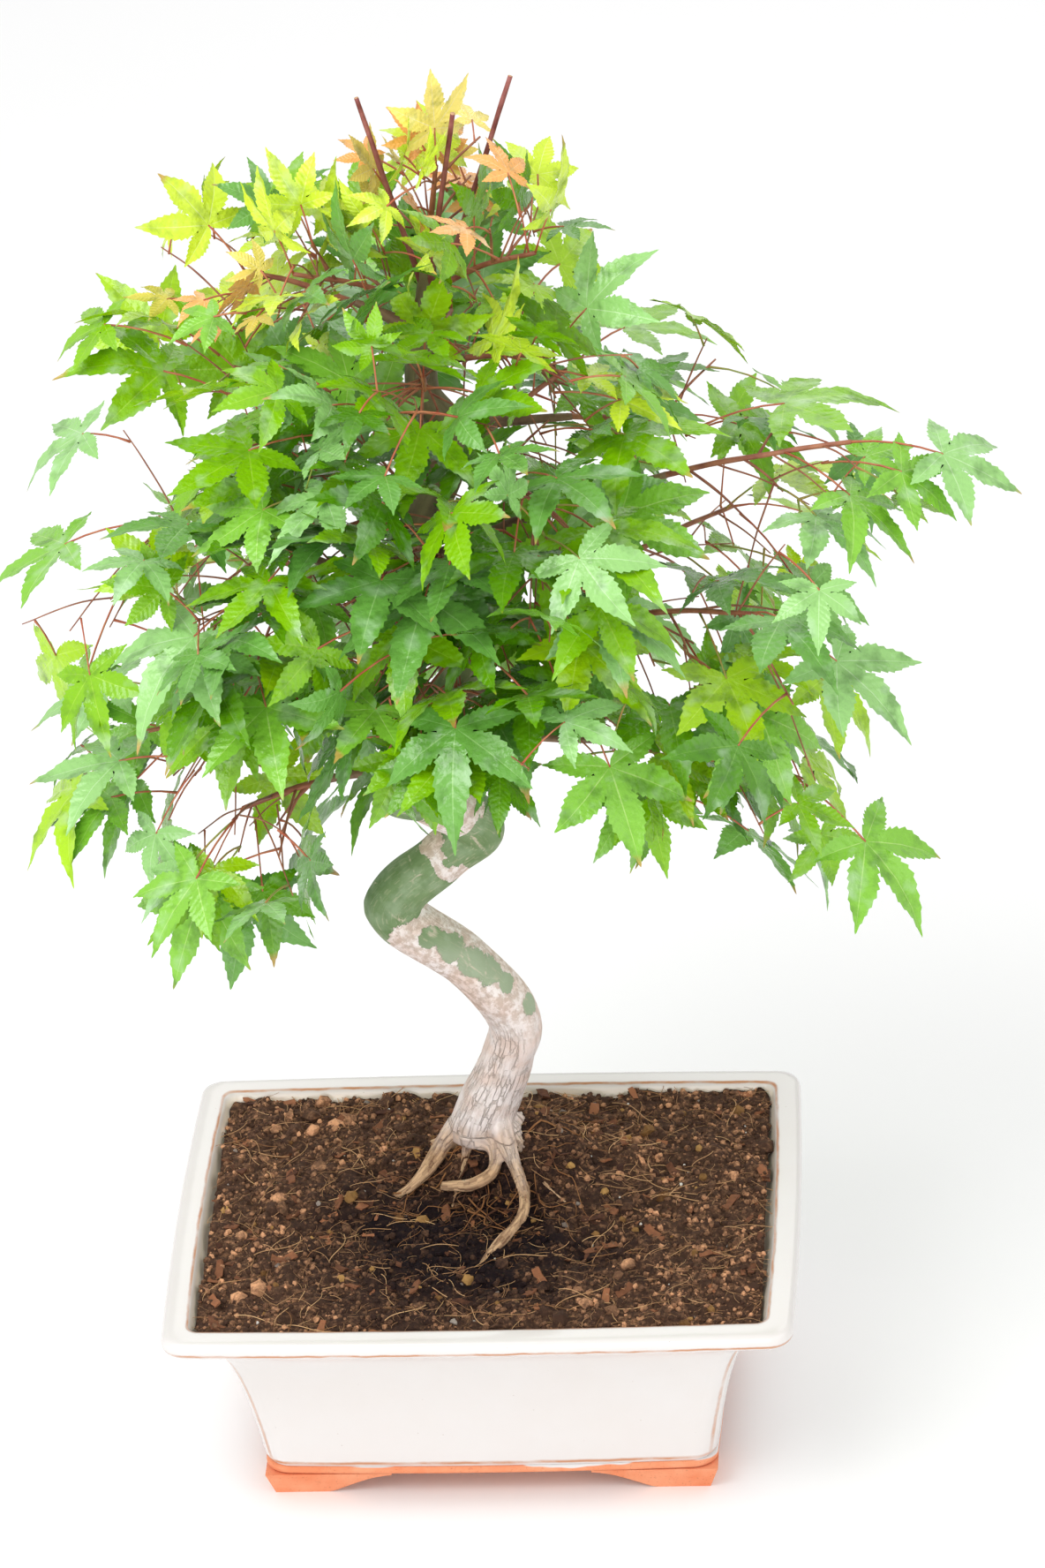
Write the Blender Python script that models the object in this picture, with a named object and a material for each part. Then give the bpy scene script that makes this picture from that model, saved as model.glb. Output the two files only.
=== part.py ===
"""Japanese maple bonsai in a cream glazed rectangular pot.

A twisting trunk stands on bared roots in a filled pot. Each bough is one tapering limb, and each
mass of foliage grows from one stem by a seeded rule: shoots in opposite pairs, leaves in opposite
pairs, every leaf a five-lobed blade on its own stalk. X runs along the pot, Y away from its front,
and the table is at Z = 0.
"""

import math
import random

import bmesh
import bpy
from mathutils import Matrix, Vector
from mathutils.bvhtree import BVHTree

MM = 0.001
GAP = 0.3 * MM
NAME = "japanese_maple_bonsai"
SEED = 41

# Pot: a rounded rectangle whose depth is less than its length by the same amount at every height.
POT_HEIGHT = 85.4 * MM
RIM_HALF_LENGTH = 110 * MM
LENGTH_LESS_DEPTH = 23 * MM
FOOT_HEIGHT = 9.5 * MM
BAND_TOP = 12.7 * MM
BASE_HALF_LENGTH = 80.5 * MM
FLOOR_TOP = 20 * MM
CORNER_RADIUS = 9 * MM
CORNER_POINTS = 4
SIDE_BOW = 1.5 * MM
DRAIN_RADIUS = 8 * MM
DRAIN_OFFSET = 38 * MM
DRAIN_SIDES = 12

# Feet: each is a cloud-shaped bracket. After the flat sole come two rounded steps, given as the
# middle and half width of each as shares of the foot's length, and its base as a share of the height.
FOOT_LENGTH = 45 * MM
FOOT_DEPTH = 34 * MM
FOOT_DRAFT = 3.6 * MM
FOOT_SOLE_SHARE = 0.49
FOOT_STEPS = ((0.56, 0.10, 0.0), (0.76, 0.16, 0.42))
FOOT_STEP_RISE = 0.40
FOOT_STEP_ANGLES = (150, 110, 70)
FOOT_END_SHARE = 0.9

# The pot's section, as (height, half length) in mm: up the outside from a chamfer that stands clear
# of the band, over the lip and down the inside.
WALL_OUTSIDE = (
    (13, 79), (14.5, 80.5), (30, 83), (48, 86.5), (62, 90.5), (70, 95), (75.5, 101.5), (79, 108.6),
)
LIP = ((81.5, 110), (84, 109.6), (85.4, 107.8), (85.4, 102.2), (84.4, 100.6))
WALL_INSIDE = ((79, 98), (75, 93.5), (70, 88.5), (62, 84), (48, 80), (30, 76.5), (20, 75))

# Soil: it fills the pot to just under the lip and rises a little to a level patch round the trunk.
# The surface is given as (height, half length) in mm, from the wall inwards.
SOIL_SURFACE = ((79, 97.5), (80, 95), (80.8, 84), (82, 70))
SOIL_TOP = SOIL_SURFACE[-1][0] * MM
SOIL_SIDE_GAP = 0.5 * MM

# Trunk: the bends it takes from the ground to its fork, as (x, y, height, radius) in mm.
TRUNK_BENDS = (
    (-4, 31, 70, 12.0),
    (-3, 30, 100, 11.5),
    (8, 27, 130, 9.3),
    (11, 24, 150, 9.6),
    (-4, 21, 174, 9.4),
    (-28, 20, 197, 9.8),
    (-10, 22, 216, 9.4),
    (3, 23, 228, 9.6),
    (-12, 9, 247, 9.0),
    (-23, 3, 259, 8.8),
    (2, 12, 296, 7.8),
    (-20, 18, 322, 7.4),
    (3, 15, 378, 6.4),
    (-5, 12, 404, 5.8),
    (-2, 12, 430, 4.4),
    (0, 11, 452, 3.0),
)
TRUNK_RING_SPACING = 9 * MM
TRUNK_ROUNDNESS = 4
LIMB_ROUNDNESS = 1

# Bared roots: direction in degrees, then reach, start height above the table, radius and sideways
# curl in mm. Each falls in a curve to its end under the soil, and thins on the way.
ROOTS = (
    ("left", 212, 46, 106, 4.6, -10),
    ("left_front", 250, 30, 100, 3.6, 6),
    ("front", 272, 62, 108, 4.2, 12),
    ("front_hook", 255, 24, 104, 3.6, -12),
    ("right", 350, 34, 99, 4.4, -6),
    ("right_front", 300, 26, 98, 3.2, 5),
    ("back_left", 140, 30, 98, 4.6, 5),
    ("back_right", 55, 28, 98, 4.6, -5),
)
ROOT_POINTS = 7
ROOT_END_DEPTH = 5 * MM
ROOT_FALL_POWER = 0.85
ROOT_START_SWELL = 1.25
ROOT_END_SHARE = 0.5

# Masses of foliage: name, direction in degrees round the crown (0 right, 90 back, 270 front),
# horizontal reach of the furthest tip, height of that tip, height where the bough leaves the trunk,
# all in mm, and the share of the way that the bough covers.
MASSES = (
    ("apex", 320, 4, 524, 500, 0.0),
    ("top_right", 345, 50, 500, 440, 0.0),
    ("top_left", 196, 52, 496, 434, 0.0),
    ("upper_left", 172, 92, 482, 424, 0.40),
    ("upper_right", 352, 78, 460, 412, 0.35),
    ("upper_front", 268, 86, 458, 408, 0.35),
    ("upper_back", 88, 88, 446, 404, 0.35),
    ("shoulder_left", 186, 127, 424, 396, 0.45),
    ("shoulder_right", 10, 154, 380, 388, 0.50),
    ("shoulder_front_left", 246, 114, 396, 378, 0.40),
    ("shoulder_front_right", 306, 128, 378, 372, 0.40),
    ("shoulder_back_left", 135, 124, 388, 384, 0.45),
    ("shoulder_back_right", 52, 128, 376, 366, 0.45),
    ("middle_right", 356, 196, 361, 330, 0.60),
    ("middle_left", 183, 155, 331, 324, 0.50),
    ("middle_front_left", 224, 140, 330, 312, 0.45),
    ("middle_front", 266, 112, 350, 338, 0.0),
    ("middle_front_right", 334, 172, 306, 302, 0.50),
    ("middle_back", 96, 146, 326, 316, 0.45),
    ("low_front", 273, 122, 301, 300, 0.40),
    ("low_left", 194, 152, 242, 284, 0.55),
    ("low_front_left", 212, 112, 208, 262, 0.50),
    ("low_front_right", 302, 124, 277, 286, 0.40),
    ("low_right", 333, 178, 237, 272, 0.55),
    ("low_back_right", 36, 172, 286, 296, 0.50),
    ("low_back_left", 136, 152, 266, 282, 0.50),
)

# The crown's outline in the plane through its heart, as (x, height) in mm from left to right, seen
# from a little above: its top falls away behind and before that plane, its foot rises to the front.
CROWN_TOP = (
    (-158, 325), (-130, 425), (-92, 488), (-34, 500), (2, 526), (45, 496), (61, 464), (100, 428),
    (151, 394), (197, 358),
)
CROWN_FOOT = (
    (-158, 284), (-152, 222), (-132, 192), (-95, 168), (-57, 181), (-36, 208), (-28, 232), (28, 228),
    (48, 216), (101, 216), (132, 186), (160, 187), (172, 258), (197, 350),
)
FALL_WITH_DEPTH = 0.57
SHIFT_WITH_DEPTH = 0.08
OUTLINE_SLACK = 2 * MM

# A mass's space is nearer its own centre than any other's, give or take the lap. The centre is at a
# share of the way from the trunk to the tip.
CROWN_HEART = Vector((0, 12, 345)) * MM
SPACE_CENTRE_SHARE = 0.64
SPACE_LAP = 18 * MM

# Boughs: each tapers along a way that is lifted in the middle by a share of its length.
BOUGH_RADIUS = 3.4 * MM
BOUGH_TIP_RADIUS = 1.7 * MM
BOUGH_POINTS = 5
BOUGH_LIFT = 0.10
WAY_STEPS = 24

# Cut-back stubs that stand bare at the top: name, foot (x, y, height) and tip (x, y, height) in mm.
STUBS = (
    ("stub_left", (-1, 11, 436), (-20, 10, 512)),
    ("stub_middle", (-1, 11, 438), (13, -9, 514)),
    ("stub_right", (0, 12, 430), (30, 24, 512)),
)
STUB_RADIUS = 1.5 * MM
STUB_TIP_SHARE = 0.8

# Leaves: a blade's lobe tips and the notches between them are (degrees from the middle lobe, share
# of its length). Leaves above the full leaf height shrink towards the apex.
BLADE_LENGTH = 45 * MM
BLADE_VARIATION = 0.12
YOUNG_LEAF_SHARE = 0.55
FULL_LEAF_HEIGHT = 410 * MM
APEX_HEIGHT = 524 * MM
BLADE_THICKNESS = 2.2 * MM
LOBES = ((0, 1.0), (43, 0.93), (95, 0.66))
NOTCHES = ((21.5, 0.50), (69, 0.42))
BASE_SHARE = 0.12
BLADE_DROOP = 0.20
BLADE_ROOM = 1.04
STALK_LENGTH = 24 * MM
STALK_RADIUS = 0.65 * MM
STALK_FOOT_RADIUS = 0.4 * MM
TIP_STALK_SHARE = 0.7
TIP_DROOP = 0.45

# How leaves are turned: the middle lobe leans outwards and droops, and the face looks up and out.
LOBE_OUTWARD = 0.5
FACE_UP = 0.9
FACE_OUT = 0.55
FACE_FRONT = 0.1
LEAF_STRAY = 0.25
LEAF_DROOP_RANGE = (0.1, 0.6)
STALK_FORWARD_RANGE = (0.2, 1.0)
STALK_SPREAD_RANGE = (0.6, 1.3)
STALK_LENGTH_RANGE = (0.6, 1.35)
STALK_RISE = 0.25
STALK_STRAY = 0.4

# Stems and side shoots: twigs have three sides, and a shoot leaves its stem between two nodes.
TWIG_SIDES = 3
STEM_RADIUS = 1.9 * MM
STEM_END_RADIUS = 1.3 * MM
SHOOT_RADIUS = 1.0 * MM
SHOOT_TIP_RADIUS = 0.95 * MM
SHOOT_LENGTH = 34 * MM
SHOOT_LENGTH_RANGE = (0.5, 1.4)
SHOOT_FORWARD_RANGE = (0.2, 1.0)
SHOOT_PLACE_RANGE = (0.3, 0.8)
NODE_SPACING = 24 * MM
NODE_SETBACK = 0.12
LEAVES_PER_MASS = 9
LEAF_ATTEMPTS = 10
SHOOT_ATTEMPTS = 160
LIMB_CLEARANCE = 1.2 * MM
FOOT_CLEARANCE = 1.5 * STEM_RADIUS
STEM_START_GAP = 1.2 * GAP

FOLIAGE_FINISH = {
    "apex": "yellow_leaf",
    "top_right": "lime_leaf",
    "top_left": "lime_leaf",
    "upper_left": "lime_leaf",
}

COLOURS = {
    "glaze": (0.78, 0.74, 0.62),
    "terracotta": (0.55, 0.20, 0.09),
    "soil": (0.055, 0.030, 0.018),
    "bark": (0.36, 0.27, 0.20),
    "young_bark": (0.16, 0.09, 0.06),
    "leaf": (0.055, 0.20, 0.035),
    "lime_leaf": (0.22, 0.40, 0.04),
    "yellow_leaf": (0.62, 0.42, 0.06),
}
ROUGHNESS = {"glaze": 0.18, "terracotta": 0.8, "soil": 0.95, "bark": 0.8, "young_bark": 0.6}

UP = Vector((0, 0, 1))
FRONT = Vector((0, -1, 0))


# Scene helpers

def clear_scene():
    """Start from an empty scene."""
    for item in list(bpy.data.objects):
        bpy.data.objects.remove(item, do_unlink=True)


def new_collection(name):
    collection = bpy.data.collections.new(name)
    bpy.context.scene.collection.children.link(collection)
    return collection


def material(kind):
    """The one material of a finish, made when first asked for."""
    found = bpy.data.materials.get(kind)
    if found:
        return found
    made = bpy.data.materials.new(kind)
    made.use_nodes = True
    shader = made.node_tree.nodes["Principled BSDF"]
    shader.inputs["Base Color"].default_value = (*COLOURS[kind], 1)
    shader.inputs["Roughness"].default_value = ROUGHNESS.get(kind, 0.5)
    shader.inputs["Metallic"].default_value = 0.0
    made.diffuse_color = (*COLOURS[kind], 1)
    return made


def add_object(name, data, collection, kind):
    """A new object with its own mesh or curve and one finish."""
    made = bpy.data.objects.new(name, data)
    collection.objects.link(made)
    data.materials.clear()
    data.materials.append(material(kind))
    return made


def mesh_from(bm, name):
    mesh = bpy.data.meshes.new(name)
    bm.to_mesh(mesh)
    bm.free()
    return mesh


def boolean(target, operation, cutter=None, collection=None, solver="EXACT"):
    """Apply one Boolean to the target, with one cutter or a collection of them."""
    step = target.modifiers.new(operation.title(), "BOOLEAN")
    step.operation = operation
    step.solver = solver
    if collection:
        step.operand_type = "COLLECTION"
        step.collection = collection
    else:
        step.object = cutter
    apply_modifiers(target)


def apply_modifiers(target):
    """Replace the object's mesh by what its modifiers make of it, all in its own one finish."""
    view = bpy.context.evaluated_depsgraph_get()
    result = bpy.data.meshes.new_from_object(target.evaluated_get(view))
    target.modifiers.clear()
    for face in result.polygons:
        face.material_index = 0
    while len(result.materials) > 1:
        result.materials.pop()
    old = target.data
    target.data = result
    if old.users == 0:
        bpy.data.meshes.remove(old)


def remove_object(item):
    """Delete an object with the mesh or curve that only it used."""
    data = item.data
    bpy.data.objects.remove(item, do_unlink=True)
    if data.users == 0:
        bpy.data.batch_remove([data])


def shade_round(target, degrees=40):
    target.data.shade_smooth()
    target.data.set_sharp_from_angle(angle=math.radians(degrees))


# Lofts of rounded rectangles, for the pot and its soil

def rounded_rectangle(half_length, height):
    """A ring of points round a rectangle with round corners and slightly bowed sides."""
    half_depth = half_length - LENGTH_LESS_DEPTH
    radius = CORNER_RADIUS
    corners = (
        (half_length - radius, half_depth - radius, 0),
        (radius - half_length, half_depth - radius, 90),
        (radius - half_length, radius - half_depth, 180),
        (half_length - radius, radius - half_depth, 270),
    )
    ring = []
    for index, (x, y, start) in enumerate(corners):
        arc = []
        for step in range(CORNER_POINTS):
            angle = math.radians(start + step * 90 / (CORNER_POINTS - 1))
            arc.append(Vector((x + radius * math.cos(angle), y + radius * math.sin(angle), height)))
        ring += arc
        next_x, next_y, next_start = corners[(index + 1) % 4]
        turn = math.radians(next_start)
        end = Vector((next_x + radius * math.cos(turn), next_y + radius * math.sin(turn), height))
        outward = Vector((math.cos(turn), math.sin(turn), 0))
        ring.append(arc[-1].lerp(end, 0.5) + outward * SIDE_BOW)
    return ring


def loft(rings, name):
    """A closed mesh through rings of equal length, with a flat cap at each end."""
    bm = bmesh.new()
    loops = []
    for ring in rings:
        loops.append([bm.verts.new(point) for point in ring])
    count = len(loops[0])
    for low, high in zip(loops, loops[1:]):
        for index in range(count):
            after = (index + 1) % count
            bm.faces.new((low[index], low[after], high[after], high[index]))
    bm.faces.new(list(reversed(loops[0])))
    bm.faces.new(loops[-1])
    bmesh.ops.recalc_face_normals(bm, faces=bm.faces)
    return mesh_from(bm, name)


def drain_cutters(collection):
    """Two upright cylinders for the drainage holes through the floor."""
    made = []
    for side in (-1, 1):
        bm = bmesh.new()
        place = Matrix.Translation((side * DRAIN_OFFSET, 0, FLOOR_TOP / 2))
        bmesh.ops.create_cone(
            bm, cap_ends=True, segments=DRAIN_SIDES, radius1=DRAIN_RADIUS, radius2=DRAIN_RADIUS,
            depth=FLOOR_TOP * 2, matrix=place,
        )
        cutter = add_object("drain_cutter", mesh_from(bm, "drain_cutter"), collection, "terracotta")
        cutter.hide_render = True
        cutter.display_type = "WIRE"
        made.append(cutter)
    return made


def make_pot(parts, cutters):
    """The glazed body, the bare clay band under it and the four bracket feet."""
    section = (*WALL_OUTSIDE, *LIP, *WALL_INSIDE)
    rings = [rounded_rectangle(half * MM, height * MM) for height, half in section]
    body = add_object("pot_body", loft(rings, "pot_body"), parts, "glaze")
    band_levels = (FOOT_HEIGHT + GAP, BAND_TOP)
    band_rings = [rounded_rectangle(BASE_HALF_LENGTH, height) for height in band_levels]
    band = add_object("pot_base_band", loft(band_rings, "pot_base_band"), parts, "terracotta")
    drains = drain_cutters(cutters)
    for piece in (body, band):
        for drain in drains:
            boolean(piece, "DIFFERENCE", drain)
    shade_round(body)
    feet = [make_foot(parts, cutters, end, side) for side in (-1, 1) for end in (-1, 1)]
    return [body, band, *feet]


def foot_profile(length):
    """The cloud-shaped side of a foot: a sole, two rounded steps and a thin end under the band."""
    profile = [(FOOT_DRAFT, 0), (FOOT_SOLE_SHARE * length, 0)]
    for middle, half_width, base in FOOT_STEPS:
        for angle in FOOT_STEP_ANGLES:
            turn = math.radians(angle)
            x = length * (middle + half_width * math.cos(turn))
            z = FOOT_HEIGHT * (base + FOOT_STEP_RISE * math.sin(turn))
            profile.append((x, z))
    profile.append((length, FOOT_HEIGHT * FOOT_END_SHARE))
    profile.append((length, FOOT_HEIGHT))
    profile.append((0, FOOT_HEIGHT))
    return profile


def extruded_profile(name, profile, width, collection):
    """A flat outline in XZ, drawn as a filled curve and extruded along Y from 0 to the width."""
    curve = bpy.data.curves.new(name, "CURVE")
    curve.dimensions = "2D"
    curve.fill_mode = "BOTH"
    curve.extrude = width / 2
    spline = curve.splines.new("POLY")
    spline.points.add(len(profile) - 1)
    for point, (x, z) in zip(spline.points, profile):
        point.co = (x, z, 0, 1)
    spline.use_cyclic_u = True
    made = add_object(name, curve, collection, "terracotta")
    made.matrix_world = Matrix.Translation((0, width / 2, 0)) @ Matrix.Rotation(math.pi / 2, 4, "X")
    return curve_to_mesh(made, collection)


def curve_to_mesh(item, collection):
    """The curve as a welded mesh object with its place kept, and the curve removed."""
    bpy.context.view_layer.update()
    view = bpy.context.evaluated_depsgraph_get()
    mesh = bpy.data.meshes.new_from_object(item.evaluated_get(view))
    bm = bmesh.new()
    bm.from_mesh(mesh)
    bmesh.ops.remove_doubles(bm, verts=bm.verts, dist=0.00001)
    bm.transform(item.matrix_world)
    bmesh.ops.recalc_face_normals(bm, faces=bm.faces)
    bm.to_mesh(mesh)
    bm.free()
    name = item.name
    remove_object(item)
    made = bpy.data.objects.new(name, mesh)
    collection.objects.link(made)
    return made


def make_foot(parts, cutters, end, side):
    """One corner foot: the cloud profile along the pot crossed with the one along its end."""
    name = "pot_foot_{}_{}".format("front" if side < 0 else "back", "left" if end < 0 else "right")
    foot = extruded_profile(name, foot_profile(FOOT_LENGTH), FOOT_DEPTH, parts)
    across = extruded_profile("foot_cutter", foot_profile(FOOT_DEPTH), FOOT_LENGTH, cutters)
    across.data.transform(Matrix.Rotation(math.pi / 2, 4, "Z"))
    across.data.transform(Matrix.Translation((FOOT_LENGTH, 0, 0)))
    boolean(foot, "INTERSECT", across)
    remove_object(across)
    corner = Vector((end * BASE_HALF_LENGTH, side * (BASE_HALF_LENGTH - LENGTH_LESS_DEPTH), 0))
    flip = Matrix.Diagonal((-end, -side, 1, 1))
    foot.data.transform(Matrix.Translation(corner) @ flip)
    if end * side < 0:
        foot.data.flip_normals()
    foot.data.shade_flat()
    return foot


def make_soil(parts):
    """The soil that fills the pot, clear of its wall, with a level patch where the roots stand."""
    floor_half = WALL_INSIDE[-1][1] * MM
    rings = [rounded_rectangle(floor_half - SOIL_SIDE_GAP, FLOOR_TOP + GAP)]
    for height, half in reversed(WALL_INSIDE[1:-1]):
        rings.append(rounded_rectangle(half * MM - SOIL_SIDE_GAP, height * MM))
    for height, half in SOIL_SURFACE:
        rings.append(rounded_rectangle(half * MM, height * MM))
    return add_object("soil", loft(rings, "soil"), parts, "soil")


# Limbs

def smooth_path(stops, spacing):
    """Points and radii along a smooth curve through (x, y, z, radius) stops in mm."""
    rows = [Vector(stop) * MM for stop in stops]
    rows = [rows[0] * 2 - rows[1], *rows, rows[-1] * 2 - rows[-2]]
    path = []
    for before, start, end, after in zip(rows, rows[1:], rows[2:], rows[3:]):
        steps = max(2, round((end - start).length / spacing))
        for step in range(steps):
            t = step / steps
            row = start * 2 + (end - before) * t
            row += (before * 2 - start * 5 + end * 4 - after) * t * t
            row += (start * 3 - before - end * 3 + after) * t ** 3
            path.append(row * 0.5)
    path.append(rows[-2])
    return [(Vector(row[:3]), row[3]) for row in path]


def limb_object(name, path, collection, kind, resolution):
    """A tapering limb: a round-bevelled curve along (point, radius) pairs, made a closed mesh."""
    curve = bpy.data.curves.new(name, "CURVE")
    curve.dimensions = "3D"
    curve.bevel_depth = 1.0
    curve.bevel_resolution = resolution
    curve.use_fill_caps = True
    spline = curve.splines.new("POLY")
    spline.points.add(len(path) - 1)
    for point, (place, radius) in zip(spline.points, path):
        point.co = (*place, 1)
        point.radius = radius
    limb = curve_to_mesh(add_object(name, curve, collection, kind), collection)
    limb.data.materials.clear()
    limb.data.materials.append(material(kind))
    return limb


def tube_shell(path, extra, sides=8):
    """Vertices and faces of a plain tube round (point, radius) pairs, wider than it by the extra."""
    vertices = []
    faces = []
    for index, (place, radius) in enumerate(path):
        ahead = path[min(index + 1, len(path) - 1)][0]
        behind = path[max(index - 1, 0)][0]
        along = (ahead - behind).normalized()
        if index == 0:
            across = along.orthogonal()
        across = (across - along * across.dot(along)).normalized()
        third = along.cross(across)
        for side in range(sides):
            turn = math.tau * side / sides
            spoke = across * math.cos(turn) + third * math.sin(turn)
            vertices.append(place + spoke * (radius + extra))
        if index:
            for side in range(sides):
                after = (side + 1) % sides
                low = (index - 1) * sides
                high = index * sides
                faces.append((low + side, low + after, high + after, high + side))
    return vertices, faces


def trunk_point(path, height):
    """The point of the trunk's middle line at a height, from the ground up."""
    for (low, _), (high, _) in zip(path, path[1:]):
        if low.z <= height <= high.z:
            return low.lerp(high, (height - low.z) / (high.z - low.z))
    return path[-1][0].copy()


def make_trunk(parts, cutters, path):
    """The trunk with its bared roots grown into it, cut flat where it stands on the soil."""
    trunk = limb_object("trunk", path, parts, "bark", TRUNK_ROUNDNESS)
    roots = new_collection("roots")
    for name, *sizes in ROOTS:
        limb_object("root_" + name, root_path(path, *sizes), roots, "bark", LIMB_ROUNDNESS)
    join_collection(trunk, roots)
    bm = bmesh.new()
    bmesh.ops.create_cube(bm, size=1)
    bmesh.ops.scale(bm, verts=bm.verts, vec=(RIM_HALF_LENGTH * 2, RIM_HALF_LENGTH * 2, POT_HEIGHT))
    bmesh.ops.translate(bm, verts=bm.verts, vec=(0, 0, SOIL_TOP + GAP - POT_HEIGHT / 2))
    ground = add_object("ground_cutter", mesh_from(bm, "ground_cutter"), cutters, "soil")
    ground.hide_render = True
    ground.display_type = "WIRE"
    boolean(trunk, "DIFFERENCE", ground)
    keep_main_body(trunk)
    shade_round(trunk)
    return trunk


def root_path(path, direction, reach, start_height, radius, curl):
    """A root that leaves the trunk's foot, arches out and dips under the soil's surface."""
    angle = math.radians(direction)
    outward = Vector((math.cos(angle), math.sin(angle), 0))
    sideways = UP.cross(outward)
    start = trunk_point(path, start_height * MM)
    fall = start.z - (SOIL_TOP - ROOT_END_DEPTH)
    points = []
    for step in range(ROOT_POINTS):
        t = step / (ROOT_POINTS - 1)
        place = start + outward * reach * MM * t + sideways * curl * MM * math.sin(math.pi * t)
        place.z = start.z - fall * t ** ROOT_FALL_POWER
        share = ROOT_START_SWELL + (ROOT_END_SHARE - ROOT_START_SWELL) * t
        points.append((place, radius * MM * share))
    return points


def join_collection(target, collection):
    """One Boolean union of the target with a collection, applied; the collection is then removed."""
    boolean(target, "UNION", collection=collection, solver="MANIFOLD")
    for item in list(collection.objects):
        remove_object(item)
    bpy.data.collections.remove(collection)


def keep_main_body(target):
    """Drop loose scraps and sealed hollows, keeping the main body."""
    bm = bmesh.new()
    bm.from_mesh(target.data)
    left = set(bm.faces)
    bodies = []
    while left:
        reached = [left.pop()]
        body = []
        while reached:
            face = reached.pop()
            body.append(face)
            for edge in face.edges:
                for other in edge.link_faces:
                    if other in left:
                        left.remove(other)
                        reached.append(other)
        bodies.append(body)
    bodies.sort(key=len)
    for body in bodies[:-1]:
        bmesh.ops.delete(bm, geom=body, context="FACES")
    loose = [vertex for vertex in bm.verts if not vertex.link_faces]
    bmesh.ops.delete(bm, geom=loose, context="VERTS")
    bm.to_mesh(target.data)
    bm.free()


# The crown's rule: where each mass may grow, and how its shoots and leaves are placed

class Mass:
    """One mass of foliage: its furthest tip, the way out to it and the middle of its space."""

    def __init__(self, row, index, trunk_path):
        name, direction, reach, height, spring, share = row
        angle = math.radians(direction)
        self.name = name
        self.random = random.Random(SEED * 100 + index)
        self.level = Vector((math.cos(angle), math.sin(angle), 0))
        self.tip = Vector((CROWN_HEART.x, CROWN_HEART.y, 0)) + self.level * reach * MM
        self.tip.z = height * MM
        self.root = trunk_point(trunk_path, spring * MM)
        self.share = share
        young = max(0.0, (self.tip.z - FULL_LEAF_HEIGHT) / (APEX_HEIGHT - FULL_LEAF_HEIGHT))
        self.leaf_share = 1 - (1 - YOUNG_LEAF_SHARE) * young
        self.outward = (self.tip - CROWN_HEART).normalized()
        self.centre = self.root.lerp(self.tip, SPACE_CENTRE_SHARE)
        self.stem = []
        self.shoots = []
        self.leaves = []

    def stray(self):
        """A small random vector, drawn from the mass's own seed."""
        return Vector([self.random.uniform(-1, 1) for axis in range(3)])


def outline_height(outline, x):
    """The height of an outline at x, both in metres."""
    x = max(outline[0][0] * MM, min(outline[-1][0] * MM, x))
    for (left, low), (right, high) in zip(outline, outline[1:]):
        if x <= right * MM:
            return (low + (high - low) * (x / MM - left) / (right - left)) * MM
    return outline[-1][1] * MM


def in_outline(point):
    """True if a point lies within the crown's outline, front, middle or back."""
    depth = point.y - CROWN_HEART.y
    x = point.x + SHIFT_WITH_DEPTH * depth
    top = outline_height(CROWN_TOP, x) - FALL_WITH_DEPTH * abs(depth)
    foot = outline_height(CROWN_FOOT, x) + FALL_WITH_DEPTH * max(-depth, 0)
    return foot - OUTLINE_SLACK <= point.z <= top + OUTLINE_SLACK


def holds(mass, masses, points):
    """True if the points lie in the mass's own space: nearer its centre than any other's, give or
    take a lapping lobe, not past its tip, and within the crown's outline."""
    limit = (mass.tip - CROWN_HEART).dot(mass.outward)
    for point in points:
        if (point - CROWN_HEART).dot(mass.outward) > limit or not in_outline(point):
            return False
    for other in masses:
        if other is mass:
            continue
        away = (other.centre - mass.centre).normalized()
        middle = (other.centre + mass.centre) / 2
        for point in points:
            if (point - middle).dot(away) > SPACE_LAP:
                return False
    return True


def blade_ring():
    """The ten outline points of a leaf of length 1: lobe tips and the notches between them."""
    half = [LOBES[0], NOTCHES[0], LOBES[1], NOTCHES[1], LOBES[2]]
    turns = half + [(180, BASE_SHARE)] + [(-angle, size) for angle, size in reversed(half[1:])]
    ring = []
    for angle, size in turns:
        turn = math.radians(angle)
        droop = -BLADE_DROOP * size ** 2
        ring.append(Vector((size * math.cos(turn), size * math.sin(turn), droop)))
    return ring


class Leaf:
    """A leaf: the foot of its stalk, the point where the blade joins it, its turn and its size."""

    def __init__(self, foot, stalk_way, stalk_length, lobe_way, face_way, size):
        self.foot = foot
        self.joint = foot + stalk_way * stalk_length
        along = lobe_way.normalized()
        face = (face_way - along * face_way.dot(along)).normalized()
        self.turn = Matrix((along, face.cross(along), face)).transposed()
        self.size = size

    def outline(self, scale=1.0):
        return [self.joint + self.turn @ (point * self.size * scale) for point in blade_ring()]

    def shell(self):
        """Vertices and faces of the blade's two sides, a little larger than it, to test its room."""
        ring = self.outline(BLADE_ROOM)
        lift = self.turn.col[2] * (BLADE_THICKNESS / 2 + GAP * 2)
        faces = []
        for index in range(len(ring)):
            after = (index + 1) % len(ring)
            faces.append((index, after, len(ring)))
            faces.append((after, index, len(ring) + 1))
        return ring + [self.joint + lift, self.joint - lift], faces


def leaf_ways(mass, stalk_way, droop):
    """The way a blade's middle lobe points and the way its face looks: out, down and to the light."""
    stray = mass.stray()
    lobe_way = stalk_way + mass.outward * LOBE_OUTWARD - UP * droop + stray * LEAF_STRAY
    face_way = UP * FACE_UP + mass.level * FACE_OUT + FRONT * FACE_FRONT + stray * LEAF_STRAY
    return lobe_way, face_way


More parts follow.
